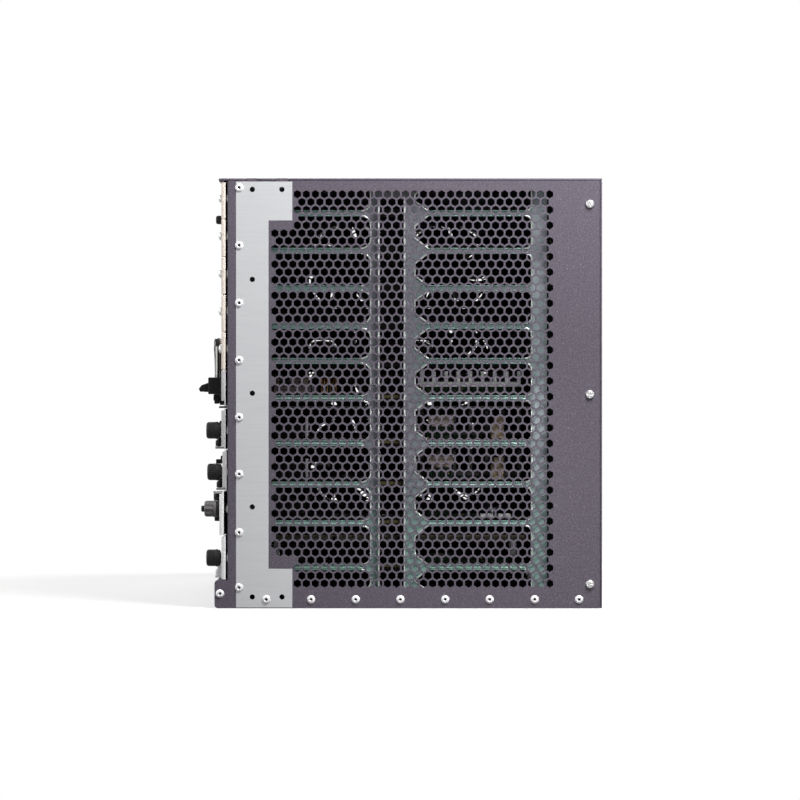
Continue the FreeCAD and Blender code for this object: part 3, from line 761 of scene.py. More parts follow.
def random_between(start, low, high, seed):
    """A seeded random number for every point."""
    sockets = {2: low, 3: high, "Seed": seed}
    return start.node("FunctionNodeRandomValue", {"data_type": "FLOAT"}, sockets, 1)


def bar_along(path, radius):
    """A round bar along a path."""
    section = path.node("GeometryNodeCurvePrimitiveCircle", {}, {"Resolution": 8, "Radius": radius})
    sockets = {"Curve": path, "Profile Curve": section, "Fill Caps": True}
    return path.node("GeometryNodeCurveToMesh", {}, sockets)


def stood_up(drawing, level):
    """Stands a flat drawing of Y and Z up at a level along X."""
    shift = drawing.node("ShaderNodeCombineXYZ", {}, {"X": level})
    return drawing.node("GeometryNodeTransform", {}, {
        "Geometry": drawing, "Translation": shift, "Rotation": (math.pi / 2, 0.0, math.pi / 2)})


def grown(name, mesh, tree, values):
    """Runs a tree on a mesh with the given inputs and returns the result as a plain object."""
    seed = linked(name, mesh)
    modifier = seed.modifiers.new("grow", "NODES")
    modifier.node_group = tree
    for item in tree.interface.items_tree:
        if item.in_out == "INPUT" and item.name in values:
            modifier[item.identifier] = values[item.name]
    bake(seed)
    made = seed.data
    made.name = name
    made.materials.clear()
    made.materials.append(values["Material"])
    made.polygons.foreach_set("material_index", [0] * len(made.polygons))
    return seed


def sheet_tree():
    """Fills its loops, pierced by a staggered grid of hexagons, and gives the sheet its thickness."""
    tree, inp = new_tree("pierced_sheet", (
        ("Level", "Float"), ("Thickness", "Float"), ("Pitch", "Float"), ("Row Pitch", "Float"),
        ("Across", "Float"), ("Columns", "Int"), ("Rows", "Int"), ("First Y", "Float"),
        ("First Z", "Float"), ("Notch Y", "Float"), ("Notch Foot", "Float"), ("Notch Head", "Float"),
        ("Pierced", "Bool"), ("Material", "Material")))
    start = inp["Geometry"]
    last_column = inp["Columns"] - 1.0
    last_row = inp["Rows"] - 1.0
    grid = start.node("GeometryNodeMeshGrid", {}, {
        0: last_column * inp["Pitch"], 1: last_row * inp["Row Pitch"], 2: inp["Columns"], 3: inp["Rows"]})
    at = start.node("GeometryNodeInputPosition")
    x = axis_of(at, "X")
    y = axis_of(at, "Y")
    row = (y / inp["Row Pitch"] + last_row / 2.0).math("ROUND")
    column = (x / inp["Pitch"] + last_column / 2.0).math("ROUND")
    across = inp["First Y"] + (column - (row % 2.0) * 0.5) * inp["Pitch"]
    up = inp["First Z"] + row * inp["Row Pitch"]
    spot = start.node("ShaderNodeCombineXYZ", {}, {"X": across, "Y": up})
    grid = start.node("GeometryNodeSetPosition", {}, {"Geometry": grid, "Position": spot})
    corner = (inp["Notch Y"] > x) * ((y > inp["Notch Head"]) + (inp["Notch Foot"] > y))
    grid = start.node("GeometryNodeDeleteGeometry", {"domain": "POINT"}, {
        "Geometry": grid, "Selection": corner})
    hexagon = start.node("GeometryNodeCurvePrimitiveCircle", {}, {
        "Resolution": 6, "Radius": inp["Across"] / math.sqrt(3)})
    holes = copies(grid, hexagon, Rotation=(0.0, 0.0, math.pi / 6))
    holes = start.node("GeometryNodeRealizeInstances", {}, {0: holes})
    holes = start.node("GeometryNodeSwitch", {"input_type": "GEOMETRY"}, {
        "Switch": inp["Pierced"], "True": holes})
    loops = start.node("GeometryNodeMeshToCurve", {}, {"Mesh": start})
    flat = start.node("GeometryNodeFillCurve", {"mode": "TRIANGLES"}, {"Curve": joined(loops, holes)})
    end_tree(stood_up(thickened(flat, inp["Thickness"]), inp["Level"]), inp["Material"])
    return tree


def heads_tree():
    """Sets a fastener head on every point, facing one way, each turned by a seeded amount."""
    tree, inp = new_tree("fastener_heads", (
        ("Head", "Object"), ("Facing", "Rotation"), ("Turned", "Float"), ("Seed", "Int"),
        ("Material", "Material")))
    start = inp["Geometry"]
    head = start.node("GeometryNodeObjectInfo", {}, {"Object": inp["Head"]}, "Geometry")
    turn = random_between(start, 0.0, math.tau, inp["Seed"]) * inp["Turned"]
    facing = start.node("FunctionNodeRotateRotation", {"rotation_space": "LOCAL"}, {
        0: inp["Facing"], 1: rotation("Z", turn)})
    end_tree(copies(points_of(start), head, Rotation=facing), inp["Material"])
    return tree


def spring_tree():
    """A coil spring of round wire on every point, along Y."""
    tree, inp = new_tree("coil_spring", (
        ("Radius", "Float"), ("Wire", "Float"), ("Length", "Float"), ("Turns", "Float"),
        ("Material", "Material")))
    start = inp["Geometry"]
    coil = start.node("GeometryNodeCurveSpiral", {}, {
        "Resolution": 20, "Rotations": inp["Turns"], "Start Radius": inp["Radius"],
        "End Radius": inp["Radius"], "Height": inp["Length"]})
    coils = copies(points_of(start), bar_along(coil, inp["Wire"]), Rotation=(math.pi / 2, 0.0, 0.0))
    end_tree(coils, inp["Material"])
    return tree


def rim_tree():
    """A rolled bead of round section along every path."""
    tree, inp = new_tree("rolled_rims", (
        ("Level", "Float"), ("Radius", "Float"), ("Material", "Material")))
    start = inp["Geometry"]
    paths = start.node("GeometryNodeMeshToCurve", {}, {"Mesh": start})
    end_tree(stood_up(bar_along(paths, inp["Radius"]), inp["Level"]), inp["Material"])
    return tree


def slot_rows():
    """Kind, foot, head and board level of every slot from the sill up."""
    rows = []
    level = SLOT_FOOT
    for kind, size, lift in SLOTS:
        if kind == "power":
            level += SHELF
        rows.append((kind, level, level + size, level + lift))
        level += size
    return rows


rows = slot_rows()
SLOT_CARDS = ("line_card_2", "line_card_1", "control_card_2", "control_card_1", "power_card")
BOARD_TOPS = {card: row[3] + BOARD_THICK for card, row in zip(SLOT_CARDS, rows)}
sheets = sheet_tree()
heads = heads_tree()
springs = spring_tree()
rims = rim_tree()

FACING_RIGHT = (0.0, math.pi / 2, 0.0)
FACING_LEFT = (0.0, -math.pi / 2, 0.0)
FACING_FRONT = (math.pi / 2, 0.0, 0.0)
FACING_REAR = (-math.pi / 2, 0.0, 0.0)
FACING_UP = (0.0, 0.0, 0.0)


def upright(bm, section, low, high):
    """A closed section across Z drawn up from one level to another."""
    rings = [[bm.verts.new((a, b, z)) for a, b in section] for z in (low, high)]
    bm.faces.new(rings[0][::-1])
    bm.faces.new(rings[1])
    for k in range(len(section)):
        after = (k + 1) % len(section)
        bm.faces.new((rings[0][k], rings[0][after], rings[1][after], rings[1][k]))


def join_blocks(obj, blocks, bends=()):
    """Adds folded flanges, bends and other flat pieces to a sheet's mesh."""
    bm = bmesh.new()
    bm.from_mesh(obj.data)
    bmesh.ops.scale(bm, vec=(1 / MM,) * 3, verts=bm.verts)
    for low, high in blocks:
        block(bm, low, high)
    for section, low, high in bends:
        upright(bm, section, low, high)
    bmesh.ops.scale(bm, vec=(MM,) * 3, verts=bm.verts)
    bm.to_mesh(obj.data)
    bm.free()


HONEYCOMB = {
    "Pitch": HOLE_PITCH * MM, "Row Pitch": HOLE_ROW * MM, "Across": HOLE_ACROSS * MM,
    "Columns": HOLE_COLUMNS, "Rows": HOLE_ROWS, "First Y": HOLE_FIRST_Y * MM, "First Z": HOLE_FIRST_Z * MM,
    "Notch Y": HOLE_NOTCH_Y * MM, "Notch Foot": HOLE_NOTCH_FOOT * MM, "Notch Head": HOLE_NOTCH_HEAD * MM,
}


def cut_sheet(name, loops, level, pierced, finish):
    """A sheet across X with the openings that the loops give, and the honeycomb if it is pierced."""
    values = {**HONEYCOMB, "Level": level * MM, "Thickness": SHEET * MM, "Pierced": pierced}
    drawing = loop_mesh(f"{name}_loops", loops)
    return grown(name, drawing, sheets, {**values, "Material": finishes[finish]})


def side_panel():
    """Right side panel with its full perforation, ear holes, cover tabs, sill cheek and front flange."""
    outline = arc(LIP + SILL_CORNER, SILL_CORNER, SILL_CORNER, 180, 270)
    outline += [(REAR, 0.0), (REAR, COVER)]
    for start, end in reversed(TABS):
        near, far = start + TAB_SLIT, end - TAB_SLIT
        outline += [(far, COVER), (far, HEIGHT), (near, HEIGHT), (near, COVER)]
    outline += [(FRONT + FOLD, COVER), (FRONT + FOLD, SILL)]
    outline += arc(LIP + SILL_CORNER, SILL - SILL_CORNER, SILL_CORNER, 90, 180)
    loops = [outline] + [circle(EAR_NEAR, z, EAR_R) for z in EAR_LEVELS]
    loops += [circle(EAR_FAR, z, EAR_R) for z in (EAR_LEVELS[0], EAR_LEVELS[-1])]
    inside = HALF - SHEET
    panel = cut_sheet("right_side_panel_skin", loops, inside, True, "side_paint")
    flange = ((inside - FLANGE, FRONT, FLANGE_FOOT), (inside, FRONT + SHEET, FLANGE_HEAD))
    bend = arc(HALF - FOLD, FRONT + FOLD, FOLD, -90, 0) + [(inside, FRONT + FOLD), (inside, FRONT)]
    join_blocks(panel, [flange], [(bend, SILL, COVER)])
    return panel


def mirrored(obj, name):
    """The same piece on the left side."""
    bm = bmesh.new()
    bm.from_mesh(obj.data)
    bmesh.ops.scale(bm, vec=(-1, 1, 1), verts=bm.verts)
    bmesh.ops.reverse_faces(bm, faces=bm.faces)
    mesh = obj.data.copy()
    bm.to_mesh(mesh)
    bm.free()
    return linked(name, mesh)


def make_side_panels():
    """Both side panels; the left one mirrors the right."""
    right = side_panel()
    left = mirrored(right, "left_side_panel_skin")
    declare(right, "chassis", "body_paint", "right_side_panel")
    declare(left, "chassis", "body_paint", "left_side_panel")


def bar_levels():
    """Middle of every bar that carries the card guides; the one above the cards is set higher."""
    return [level - BAR_DROP + (BAR_LIFT if number == len(SLOT_CARDS) else 0.0)
            for number, (_, _, _, level) in enumerate(rows)]


def window_rows():
    """Foot and top of every row of windows, between the bars."""
    feet = [WINDOW_FOOT] + [level + BAR / 2 for level in bar_levels()]
    tops = [level - BAR / 2 for level in bar_levels()] + [WINDOW_HEAD]
    return list(zip(feet, tops))


def end_radius(radius, foot, top):
    """The radius of a window's end, less in a low window."""
    return min(radius, (top - foot) / WINDOW_SHARE)


def front_window_end(foot, top):
    """Round end of a front window, next to the tall opening, from foot to top."""
    radius = end_radius(WINDOW_ROUND, foot, top)
    edge = WINDOW_FRONT[1] - radius
    return arc(edge, foot + radius, radius, 270, 360, 8) + arc(edge, top - radius, radius, 0, 90, 8)


def rear_window_tip(foot, top):
    """Chamfered end of a rear window, next to the tall opening, from top to foot."""
    reach, rise = WINDOW_TIP
    rise = end_radius(rise, foot, top)
    edge = WINDOW_REAR[0]
    return [(edge + reach, top), (edge, top - rise), (edge, foot + rise), (edge + reach, foot)]


def rear_window_end(foot, top):
    """Round end of a rear window, at the back of the cage, from foot to top."""
    radius = end_radius(WINDOW_CORNER, foot, top)
    edge = WINDOW_REAR[1] - radius
    return arc(edge, foot + radius, radius, 270, 360) + arc(edge, top - radius, radius, 0, 90)


def window_loops():
    """Windows of the right cage wall: two columns between the guides and a tall opening between them."""
    loops = [rounded(*WINDOW_POST, POST_FOOT, POST_HEAD, POST_CORNER)]
    for foot, top in window_rows():
        radius = end_radius(WINDOW_CORNER, foot, top)
        near = WINDOW_FRONT[0] + radius
        loops.append(front_window_end(foot, top) + arc(near, top - radius, radius, 90, 180)
                     + arc(near, foot + radius, radius, 180, 270))
        loops.append(rear_window_end(foot, top) + rear_window_tip(foot, top))
    return loops


def make_rims():
    """Rolled rims and ribs: near-white painted highlight at the ends of the windows and on the post's
    flanges, duller teal painted highlight along the bars.
    """
    ends = []
    bars = []
    for foot, top in window_rows():
        front = front_window_end(foot, top)
        tip = rear_window_tip(foot, top)
        rear = rear_window_end(foot, top)
        ends += [front, tip, rear]
        bars += [[(WINDOW_FRONT[0], level), (front[0][0], level)] for level in (foot, top)]
        bars += [[(tip[0][0], level), (rear[0][0], level)] for level in (foot, top)]
    ribs = []
    for middle in bar_levels()[:len(SLOT_CARDS)]:
        level = middle - RIB_DROP
        ribs.append([(WINDOW_FRONT[0] + RIB_INSET[0], level), (WINDOW_FRONT[1] - RIB_INSET[1], level)])
        ribs.append([(WINDOW_REAR[0] + WINDOW_TIP[0], level), (WINDOW_REAR[1] - RIB_REAR_INSET, level)])
    edges = (WINDOW_POST[0] - SHEET / 2, WINDOW_POST[1] + SHEET / 2)
    flanges = [[(y, POST_FOOT - POST_BEAD_PAST), (y, POST_HEAD + POST_BEAD_PAST)] for y in edges]
    for name, paths, level, radius, finish in (
            ("window_end_rims", ends, CAGE_OUT, END_RIM, "painted_highlight"),
            ("window_bar_rims", bars, CAGE_OUT, BAR_RIM, "bar_painted_highlight"),
            ("window_bar_ribs", ribs, CAGE_OUT, BAR_RIB, "rib_painted_highlight"),
            ("post_flange_beads", flanges, CAGE_OUT + POST_FLANGE, POST_BEAD, "painted_highlight")):
        bead = grown(name, loop_mesh(f"{name}_paths", paths, False), rims, {
            "Level": level * MM, "Radius": radius * MM, "Material": finishes[finish]})
        declare(bead, "chassis", "plated_steel")


def make_cage_wall():
    """Right cage wall with its windows, flanged tall opening, folded web, foot and rear flange."""
    outline = [(CAGE_FRONT, CAGE_FOOT), (CAGE_REAR, CAGE_FOOT)]
    outline += [(CAGE_REAR, CAGE_HEAD), (CAGE_FRONT, CAGE_HEAD)]
    loops = [outline] + window_loops()
    wall = cut_sheet("right_cage_wall_skin", loops, CAGE_IN, False, "plated_steel")
    out = HALF - SHEET - WEB_GAP
    inner = CAGE_IN - CAGE_FOLD
    web_front = FRONT + SHEET + WEB_GAP
    web_rear = CAGE_FRONT + SHEET
    join_blocks(wall, [
        ((CAGE_IN, CAGE_FRONT, WEB_FOOT), (out, web_rear, WEB_HEAD)),
        ((out - SHEET, web_front, WEB_FOOT), (out, web_rear, WEB_HEAD)),
        ((inner, CAGE_REAR - SHEET, CAGE_FOOT), (CAGE_IN, CAGE_REAR, CAGE_HEAD)),
        ((inner, CAGE_FRONT, CAGE_FOOT), (CAGE_IN, CAGE_REAR, CAGE_FOOT + SHEET)),
    ])
    declare(wall, "chassis", "plated_steel", "right_cage_wall")
    foot = POST_FOOT - POST_FLANGE_PAST[0]
    head = POST_HEAD + POST_FLANGE_PAST[1]
    sides = (WINDOW_POST[0] - SHEET, WINDOW_POST[1])
    flanges = [((CAGE_OUT, y, foot), (CAGE_OUT + POST_FLANGE, y + SHEET, head)) for y in sides]
    rounded_blocks("post_flanges", flanges, "plated_steel", 0.3, "chassis", "plated_steel")


def head_object(name, profile, sides, cross=None):
    """A fastener head about Z, with a cross recess if one is given as (reach, width, depth)."""
    bm = bmesh.new()
    lathe(bm, profile, sides, Matrix.Identity(4))
    face_outwards(bm)
    obj = piece(name, bm, "screw_metal", SMOOTH_ANGLE)
    if cross:
        reach, width, depth = cross
        top = max(height for _, height in profile)
        for turn in (0.0, math.pi / 2):
            bm = bmesh.new()
            verts = block(bm, (-reach, -width / 2, top - depth), (reach, width / 2, top + 1.0))
            bmesh.ops.rotate(bm, verts=verts, cent=(0, 0, 0), matrix=Matrix.Rotation(turn, 3, "Z"))
            cutter = piece(f"{name}_cut", bm, "screw_metal")
            boolean = obj.modifiers.new("cross", "BOOLEAN")
            boolean.operation = "DIFFERENCE"
            boolean.object = cutter
            bake(obj)
            discard(cutter)
    return obj


def bake(obj):
    """Applies a piece's modifiers to its mesh."""
    depsgraph = bpy.context.evaluated_depsgraph_get()
    made = bpy.data.meshes.new_from_object(obj.evaluated_get(depsgraph), depsgraph=depsgraph)
    obj.modifiers.clear()
    obj.data = made


# Fastener heads as (radius, height), and the cross recess of a screw as (reach, width, depth)
RIVET = ((0.0, 0.0), (0.82, 0.0), (0.86, 0.85), (1.2, 1.05), (1.8, 0.95), (2.35, 0.6), (2.65, 0.1),
         (2.65, -0.2))
MANDREL = ((0.0, 0.6), (0.45, 0.55), (0.8, 0.3), (0.8, 0.0))
# A black disc of painted shade, set at the bottom of the lowest ear holes
HOLE_SHADE_DISC = ((0.0, 0.12), (1.64, 0.12), (1.64, 0.02))
CLINCH_NUT = ((0.0, -4.4), (1.64, -4.4), (1.64, 0.0), (2.3, 0.0), (2.3, -5.0), (0.0, -5.0))
PRESS_NUT = ((2.35, 0.0), (2.35, 0.5), (3.2, 0.5), (3.2, 0.0))
PAN_HEAD = ((0.0, 1.9), (1.2, 1.85), (2.1, 1.5), (2.6, 0.9), (2.75, 0.3), (2.75, -0.2))
PAN_CROSS = (1.5, 0.55, 1.0)
PUSH_KNOB = ((0.0, 7.0), (1.9, 7.0), (2.5, 6.6), (2.8, 5.6), (2.8, 0.8), (2.5, 0.6), (2.5, -0.2))
BLANK_SCREW_RISE = 1.5
PUSH_KNOB_AT = (150.0, 242.6)


def fasteners(name, head, points, facing, finish, seed, body="chassis", slot="plated_steel", turned=1.0):
    """One piece of equal heads on one body."""
    obj = grown(name, point_mesh(f"{name}_points", points), heads, {
        "Head": head, "Facing": facing, "Turned": turned, "Seed": seed, "Material": finishes[finish]})
    return declare(obj, body, slot)


def make_side_fasteners(screw):
    """Pop rivets, ear nuts, black discs of painted shade in the lowest ear holes, and screws of both sides.
    """
    rivet = head_object("rivet_head", RIVET, 20)
    mandrel = head_object("mandrel_head", MANDREL, 12)
    clinch = head_object("clinch_nut", CLINCH_NUT, 24)
    floor = head_object("hole_floor", HOLE_SHADE_DISC, 24)
    spots = [(RIVET_Y, z) for z in RIVET_LEVELS] + [(y, RIVET_ROW_Z) for y in RIVET_ROW] + [RIVET_SILL]
    for word, sign, facing in (("right", 1, FACING_RIGHT), ("left", -1, FACING_LEFT)):
        outside = sign * HALF
        inside = sign * (HALF - SHEET)
        places = [(outside, y, z) for y, z in spots]
        fasteners(f"{word}_rivets", rivet, places, facing, "rivet_metal", 3)
        fasteners(f"{word}_mandrels", mandrel, places, facing, "dark_steel", 3)
        places = [(inside, EAR_NEAR, z) for z in EAR_LEVELS[1:]] + [(inside, EAR_FAR, EAR_LEVELS[-1])]
        fasteners(f"{word}_ear_nuts", clinch, places, facing, "dark_steel", 4)
        # The lowest ear holes get a black disc of painted shade instead of showing the fold behind them
        places = [(inside, y, EAR_LEVELS[0]) for y in (EAR_NEAR, EAR_FAR)]
        fasteners(f"{word}_ear_hole_floors", floor, places, facing, "painted_hole_shade", 4)
        places = [(outside, SIDE_SCREW_Y, z) for z in SIDE_SCREWS]
        fasteners(f"{word}_screws", screw, places, facing, "screw_metal", 5)
    discard(rivet, mandrel, clinch, floor)


def make_front_fasteners(screw):
    """Captive screws of the blank panels and the fan tray, the push knob and the nuts behind the knobs."""
    push = head_object("push_knob", PUSH_KNOB, 24)
    press = head_object("press_nut", PRESS_NUT, 24)
    blanks = [(foot + head) / 2 + BLANK_SCREW_RISE for kind, foot, head, _ in rows if kind == "blank"]
    places = [(x, PLATE_FRONT, z) for x in (KNOB_LEFT, KNOB_RIGHT) for z in blanks]
    fasteners("blank_screws", screw, places, FACING_FRONT, "screw_metal", 7)
    places = [(PUSH_KNOB_AT[0], PLATE_FRONT, PUSH_KNOB_AT[1])]
    fasteners("blank_push_knob", push, places, FACING_FRONT, "black_knob", 8, slot="black_knob")
    knobs = [sum(span(f"{card}_knob_right"), Vector()).z / 2 for card in CARDS]
    places = [(x, FRONT, z) for x in (KNOB_LEFT, KNOB_RIGHT) for z in blanks + knobs]
    fasteners("flange_nuts", press, places, FACING_FRONT, "screw_metal", 6)
    places = [(TRAY_SCREW_X, PLATE_FRONT, z) for z in TRAY_SCREWS]
    fasteners("fan_tray_screws", screw, places, FACING_FRONT, "screw_metal", 11, "fan_tray")
    discard(push, press)


def make_fasteners():
    """Rivets, screws and nuts of the sides and the front."""
    screw = head_object("screw_head", PAN_HEAD, 24, PAN_CROSS)
    make_side_fasteners(screw)
    make_front_fasteners(screw)
    discard(screw)


FLAT_HEAD = ((0.0, 0.3), (2.3, 0.3), (2.75, 0.1), (2.75, -0.6), (0.0, -0.6))
FLAT_CROSS = (1.5, 0.5, 0.5)
INSERT = ((1.7, 0.25), (4.4, 0.25), (4.6, 0.1), (4.6, -0.4), (1.7, -0.4), (1.7, 0.25))
LED = ((0.0, 0.7), (0.5, 0.6), (0.85, 0.3), (0.9, 0.0), (0.9, -0.3), (0.0, -0.3))
LED_RISE = 2.2

# Blocks of ports by kind of card, as left end and count, and the boxes of a dust plug
PORTS = {"line": ((-84.4, 16),), "control": ((86.6, 4), (-13.15, 6))}
PLUG = (((-6.4, -4.0, -3.0), (6.4, 4.0, 0.4)),
        ((-3.4, -0.8, 0.3), (3.4, 0.8, 2.0)),
        ((-5.2, 2.4, 0.3), (5.2, 3.0, 0.7)))

# Screws of the back and the cover, and the ground point
REAR_FACE = 124.5
REAR_SCREW_X = (-202.0, -121.0, -40.5, 40.5, 121.0, 202.0)
REAR_SCREW_INSET = 7.0
REAR_SCREW_Z = (70.0, 131.0, 192.0)
COVER_SCREW_X = (-212.0, 212.0)
COVER_SCREW_Y = (-58.0, 24.0, 106.0)
COVER_REAR_X = (-120.0, 0.0, 120.0)
COVER_REAR_Y = 114.0
GROUND_X = (-190.0, -174.0)
GROUND_Z = 34.0


def make_ports():
    """Dark dust plugs in every port, which also stand in for the shade inside the ports' mouths, and a status
    lamp over each.
    """
    plug = soften(part_object("dust_plug", PLUG, "port_plug_and_shade"), 0.35, 1)
    bake(plug)
    led = head_object("status_lamp", LED, 12)
    for card in CARDS:
        mouth, cage_head = span(f"{card}_cages")
        level = (mouth.z + cage_head.z) / 2
        blocks = PORTS[card.split("_")[0]]
        centres = [left + (k + 0.5) * PORT_PITCH for left, count in blocks for k in range(count)]
        places = [(x, mouth.y, level) for x in centres]
        fasteners(f"{card}_dust_plugs", plug, places, FACING_FRONT, "port_plug_and_shade", 1,
                  card, "black_plastic", 0.0)
        places = [(x, mouth.y + PORT_PROUD, cage_head.z + LED_RISE) for x in centres]
        fasteners(f"{card}_status_lamps", led, places, FACING_FRONT, "led_lens", 1,
                  card, "guide_plastic", 0.0)
    discard(plug, led)


def make_cover_screws():
    """Flush screws of the back and the cover, and the two tapped inserts of the ground point."""
    flat = head_object("flat_head", FLAT_HEAD, 24, FLAT_CROSS)
    insert = head_object("insert", INSERT, 24)
    low, high = span("rear_panel")
    levels = (low.z + REAR_SCREW_INSET, high.z - REAR_SCREW_INSET)
    places = [(x, REAR_FACE, z) for x in REAR_SCREW_X for z in levels]
    places += [(x, REAR_FACE, z) for x in COVER_SCREW_X for z in REAR_SCREW_Z]
    fasteners("rear_screws", flat, places, FACING_REAR, "screw_metal", 13)
    places = [(x, REAR_FACE, GROUND_Z) for x in GROUND_X]
    fasteners("ground_inserts", insert, places, FACING_REAR, "screw_metal", 14)
    places = [(x, y, HEIGHT) for x in COVER_SCREW_X for y in COVER_SCREW_Y]
    places += [(x, COVER_REAR_Y, HEIGHT) for x in COVER_REAR_X]
    fasteners("cover_screws", flat, places, FACING_UP, "screw_metal", 15)
    discard(flat, insert)


# Hand knobs: stations as (place behind the nose or the back, radius, share of the flutes' depth)
KNOB_R = 5.15
KNOB_SHANK = 2.0
KNOB_LENGTH = 7.2
KNOB_STEPS = 6
KNOB_NOSE = ((0.4, 0.0, 0.0), (0.4, 2.0, 0.0), (0.0, 2.4, 0.0), (0.0, 3.7, 0.1), (0.18, 4.35, 0.4),
             (0.65, 4.85, 0.7), (1.4, KNOB_R, 1.0))
KNOB_BACK = ((-2.0, KNOB_R, 1.0), (-1.6, KNOB_R, 0.2), (-1.5, KNOB_R + 0.25, 0.0),
             (-0.3, KNOB_R + 0.25, 0.0), (0.0, KNOB_R - 0.1, 0.0), (0.0, KNOB_SHANK, 0.0))
KNOB_COLLAR = ((2.0, 0.4), (4.9, 0.4), (5.0, 0.2), (5.0, -0.9), (4.3, -1.5), (2.0, -1.5), (2.0, 0.4))
STUB_SEAT = 0.5
SPRING = {"Radius": 3.1 * MM, "Wire": 0.3 * MM, "Length": 1.9 * MM, "Turns": 2.6}
SPRING_GAP = 2.05
GREY_KNOB = ("grey_knob", 2.0, 10, 0.7)
BLACK_KNOB = ("black_knob", 0.0, 24, 0.25)


def fluted_ring(bm, centre, y, reach, flutes, depth):
    """A ring about Y with rounded flutes of a depth, or its middle where it has no reach."""
    x, z = centre
    if reach == 0.0:
        return [bm.verts.new((x, y, z))]
    ring = []
    sides = flutes * KNOB_STEPS
    for k in range(sides):
        angle = 2 * math.pi * k / sides
        r = reach - depth * (0.5 - 0.5 * math.cos(flutes * angle))
        ring.append(bm.verts.new((x + r * math.cos(angle), y, z + r * math.sin(angle))))
    return ring


def fluted_knob(node, finish, stub, flutes, depth):
    """Hand knob with rounded flutes, a dished nose, a collar, a shank and its spring."""
    low, high = span(node)
    x, z = (low.x + high.x) / 2, (low.z + high.z) / 2
    nose = low.y + stub
    back = nose + KNOB_LENGTH
    stations = [(nose + y, reach, share) for y, reach, share in KNOB_NOSE]
    stations += [(back + y, reach, share) for y, reach, share in KNOB_BACK]
    stations += [(high.y, KNOB_SHANK, 0.0), (high.y, 0.0, 0.0)]
    bm = bmesh.new()
    rings = [fluted_ring(bm, (x, z), y, reach, flutes, share * depth) for y, reach, share in stations]
    skin(bm, rings, flutes * KNOB_STEPS)
    face_outwards(bm)
    knob = piece(f"{node}_skin", bm, finish, SMOOTH_ANGLE)
    declare(knob, BODY_OF[node], SLOT_OF[node], node)
    bm = bmesh.new()
    out = Matrix.Rotation(math.pi / 2, 4, "X")
    lathe(bm, KNOB_COLLAR, 36, Matrix.Translation((x, back, z)) @ out)
    if stub:
        end = stub + STUB_SEAT
        tip = ((0.0, end), (1.4, end), (1.9, end - 0.4), (KNOB_SHANK, 0.0), (0.0, 0.0))
        lathe(bm, tip, 20, Matrix.Translation((x, nose + STUB_SEAT, z)) @ out)
    face_outwards(bm)
    declare(piece(f"{node}_collar", bm, "black_knob", SMOOTH_ANGLE), BODY_OF[node], "black_knob")
    seat = point_mesh("spring_point", [(x, back + SPRING_GAP, z)])
    spring = grown(f"{node}_spring", seat, springs, {**SPRING, "Material": finishes["spring_steel"]})
    declare(spring, BODY_OF[node], "plated_steel")


def make_knobs():
    """The knobs of every card; one line card has coarse grey ones with a stub."""
    for card in CARDS:
        for side in ("left", "right"):
            kind = GREY_KNOB if card == "line_card_1" else BLACK_KNOB
            fluted_knob(f"{card}_knob_{side}", *kind)


# Solids that keep their shape and get eased edges: finish and width
EASED = {
    "top_cover": ("body_paint", 0.5), "base_tray": ("body_paint", 0.5), "rear_panel": ("body_paint", 0.4),
    "fan_tray_panel": ("body_paint", 0.5), "power_card_faceplate": ("grey_paint", 0.3),
    "power_switch_lever": ("black_plastic", 0.6), "power_card_inlet": ("black_plastic", 0.4),
    # The fan tray frame and the left cage wall get zinc darkened as painted shade
    "card_shelf": ("black_paint", 0.25), "fan_tray_frame": ("painted_shade_zinc", 0.2),
    "left_cage_wall": ("painted_shade_zinc", 0.2),
}
BLANK_COUNT = 5
BLANK_EASE = 0.5
PLATE_EASE = 0.3
LEVER_EASE = 0.4


def make_eased():
    """Sheet-metal parts, faceplates and levers with eased edges."""
    for node, (finish, width) in EASED.items():
        eased(node, finish, width)
    for number in range(1, BLANK_COUNT + 1):
        eased(f"blank_panel_{number}", "cream_paint", BLANK_EASE)
    for card in CARDS:
        eased(f"{card}_faceplate", "white_paint" if "line" in card else "grey_paint", PLATE_EASE)
        for side in ("left", "right"):
            finish = "lever_plastic" if card == "line_card_2" else "black_plastic"
            eased(f"{card}_lever_{side}", finish, LEVER_EASE)


def rounded_blocks(name, blocks, finish, width, body, slot):
    """One piece of separate blocks with rounded edges."""
    bm = bmesh.new()
    for low, high in blocks:
        block(bm, low, high)
    return declare(soften(piece(name, bm, finish), width), body, slot)


def sweep(bm, path, radius, sides):
    """A round bar along a path, closed at both ends."""
    angles = [2 * math.pi * k / sides for k in range(sides)]
    circle_points = [Vector((radius * math.cos(t), radius * math.sin(t), 0)) for t in angles]
    rings = []
    for k, spot in enumerate(path):
        before = path[max(k - 1, 0)]
        after = path[min(k + 1, len(path) - 1)]
        turn = (Vector(after) - Vector(before)).to_track_quat("Z", "Y").to_matrix()
        rings.append([bm.verts.new(Vector(spot) + turn @ point) for point in circle_points])
    skin(bm, rings, sides)
    bm.faces.new(rings[0][::-1])
    bm.faces.new(rings[-1])


# Folding handle: bend, bore of its eyes and where its legs start above them; merging distance in millimetres
HANDLE_BEND = 5.0
HANDLE_EYE = 1.2
HANDLE_LEG = 1.2
HANDLE_MERGE = 1e-5


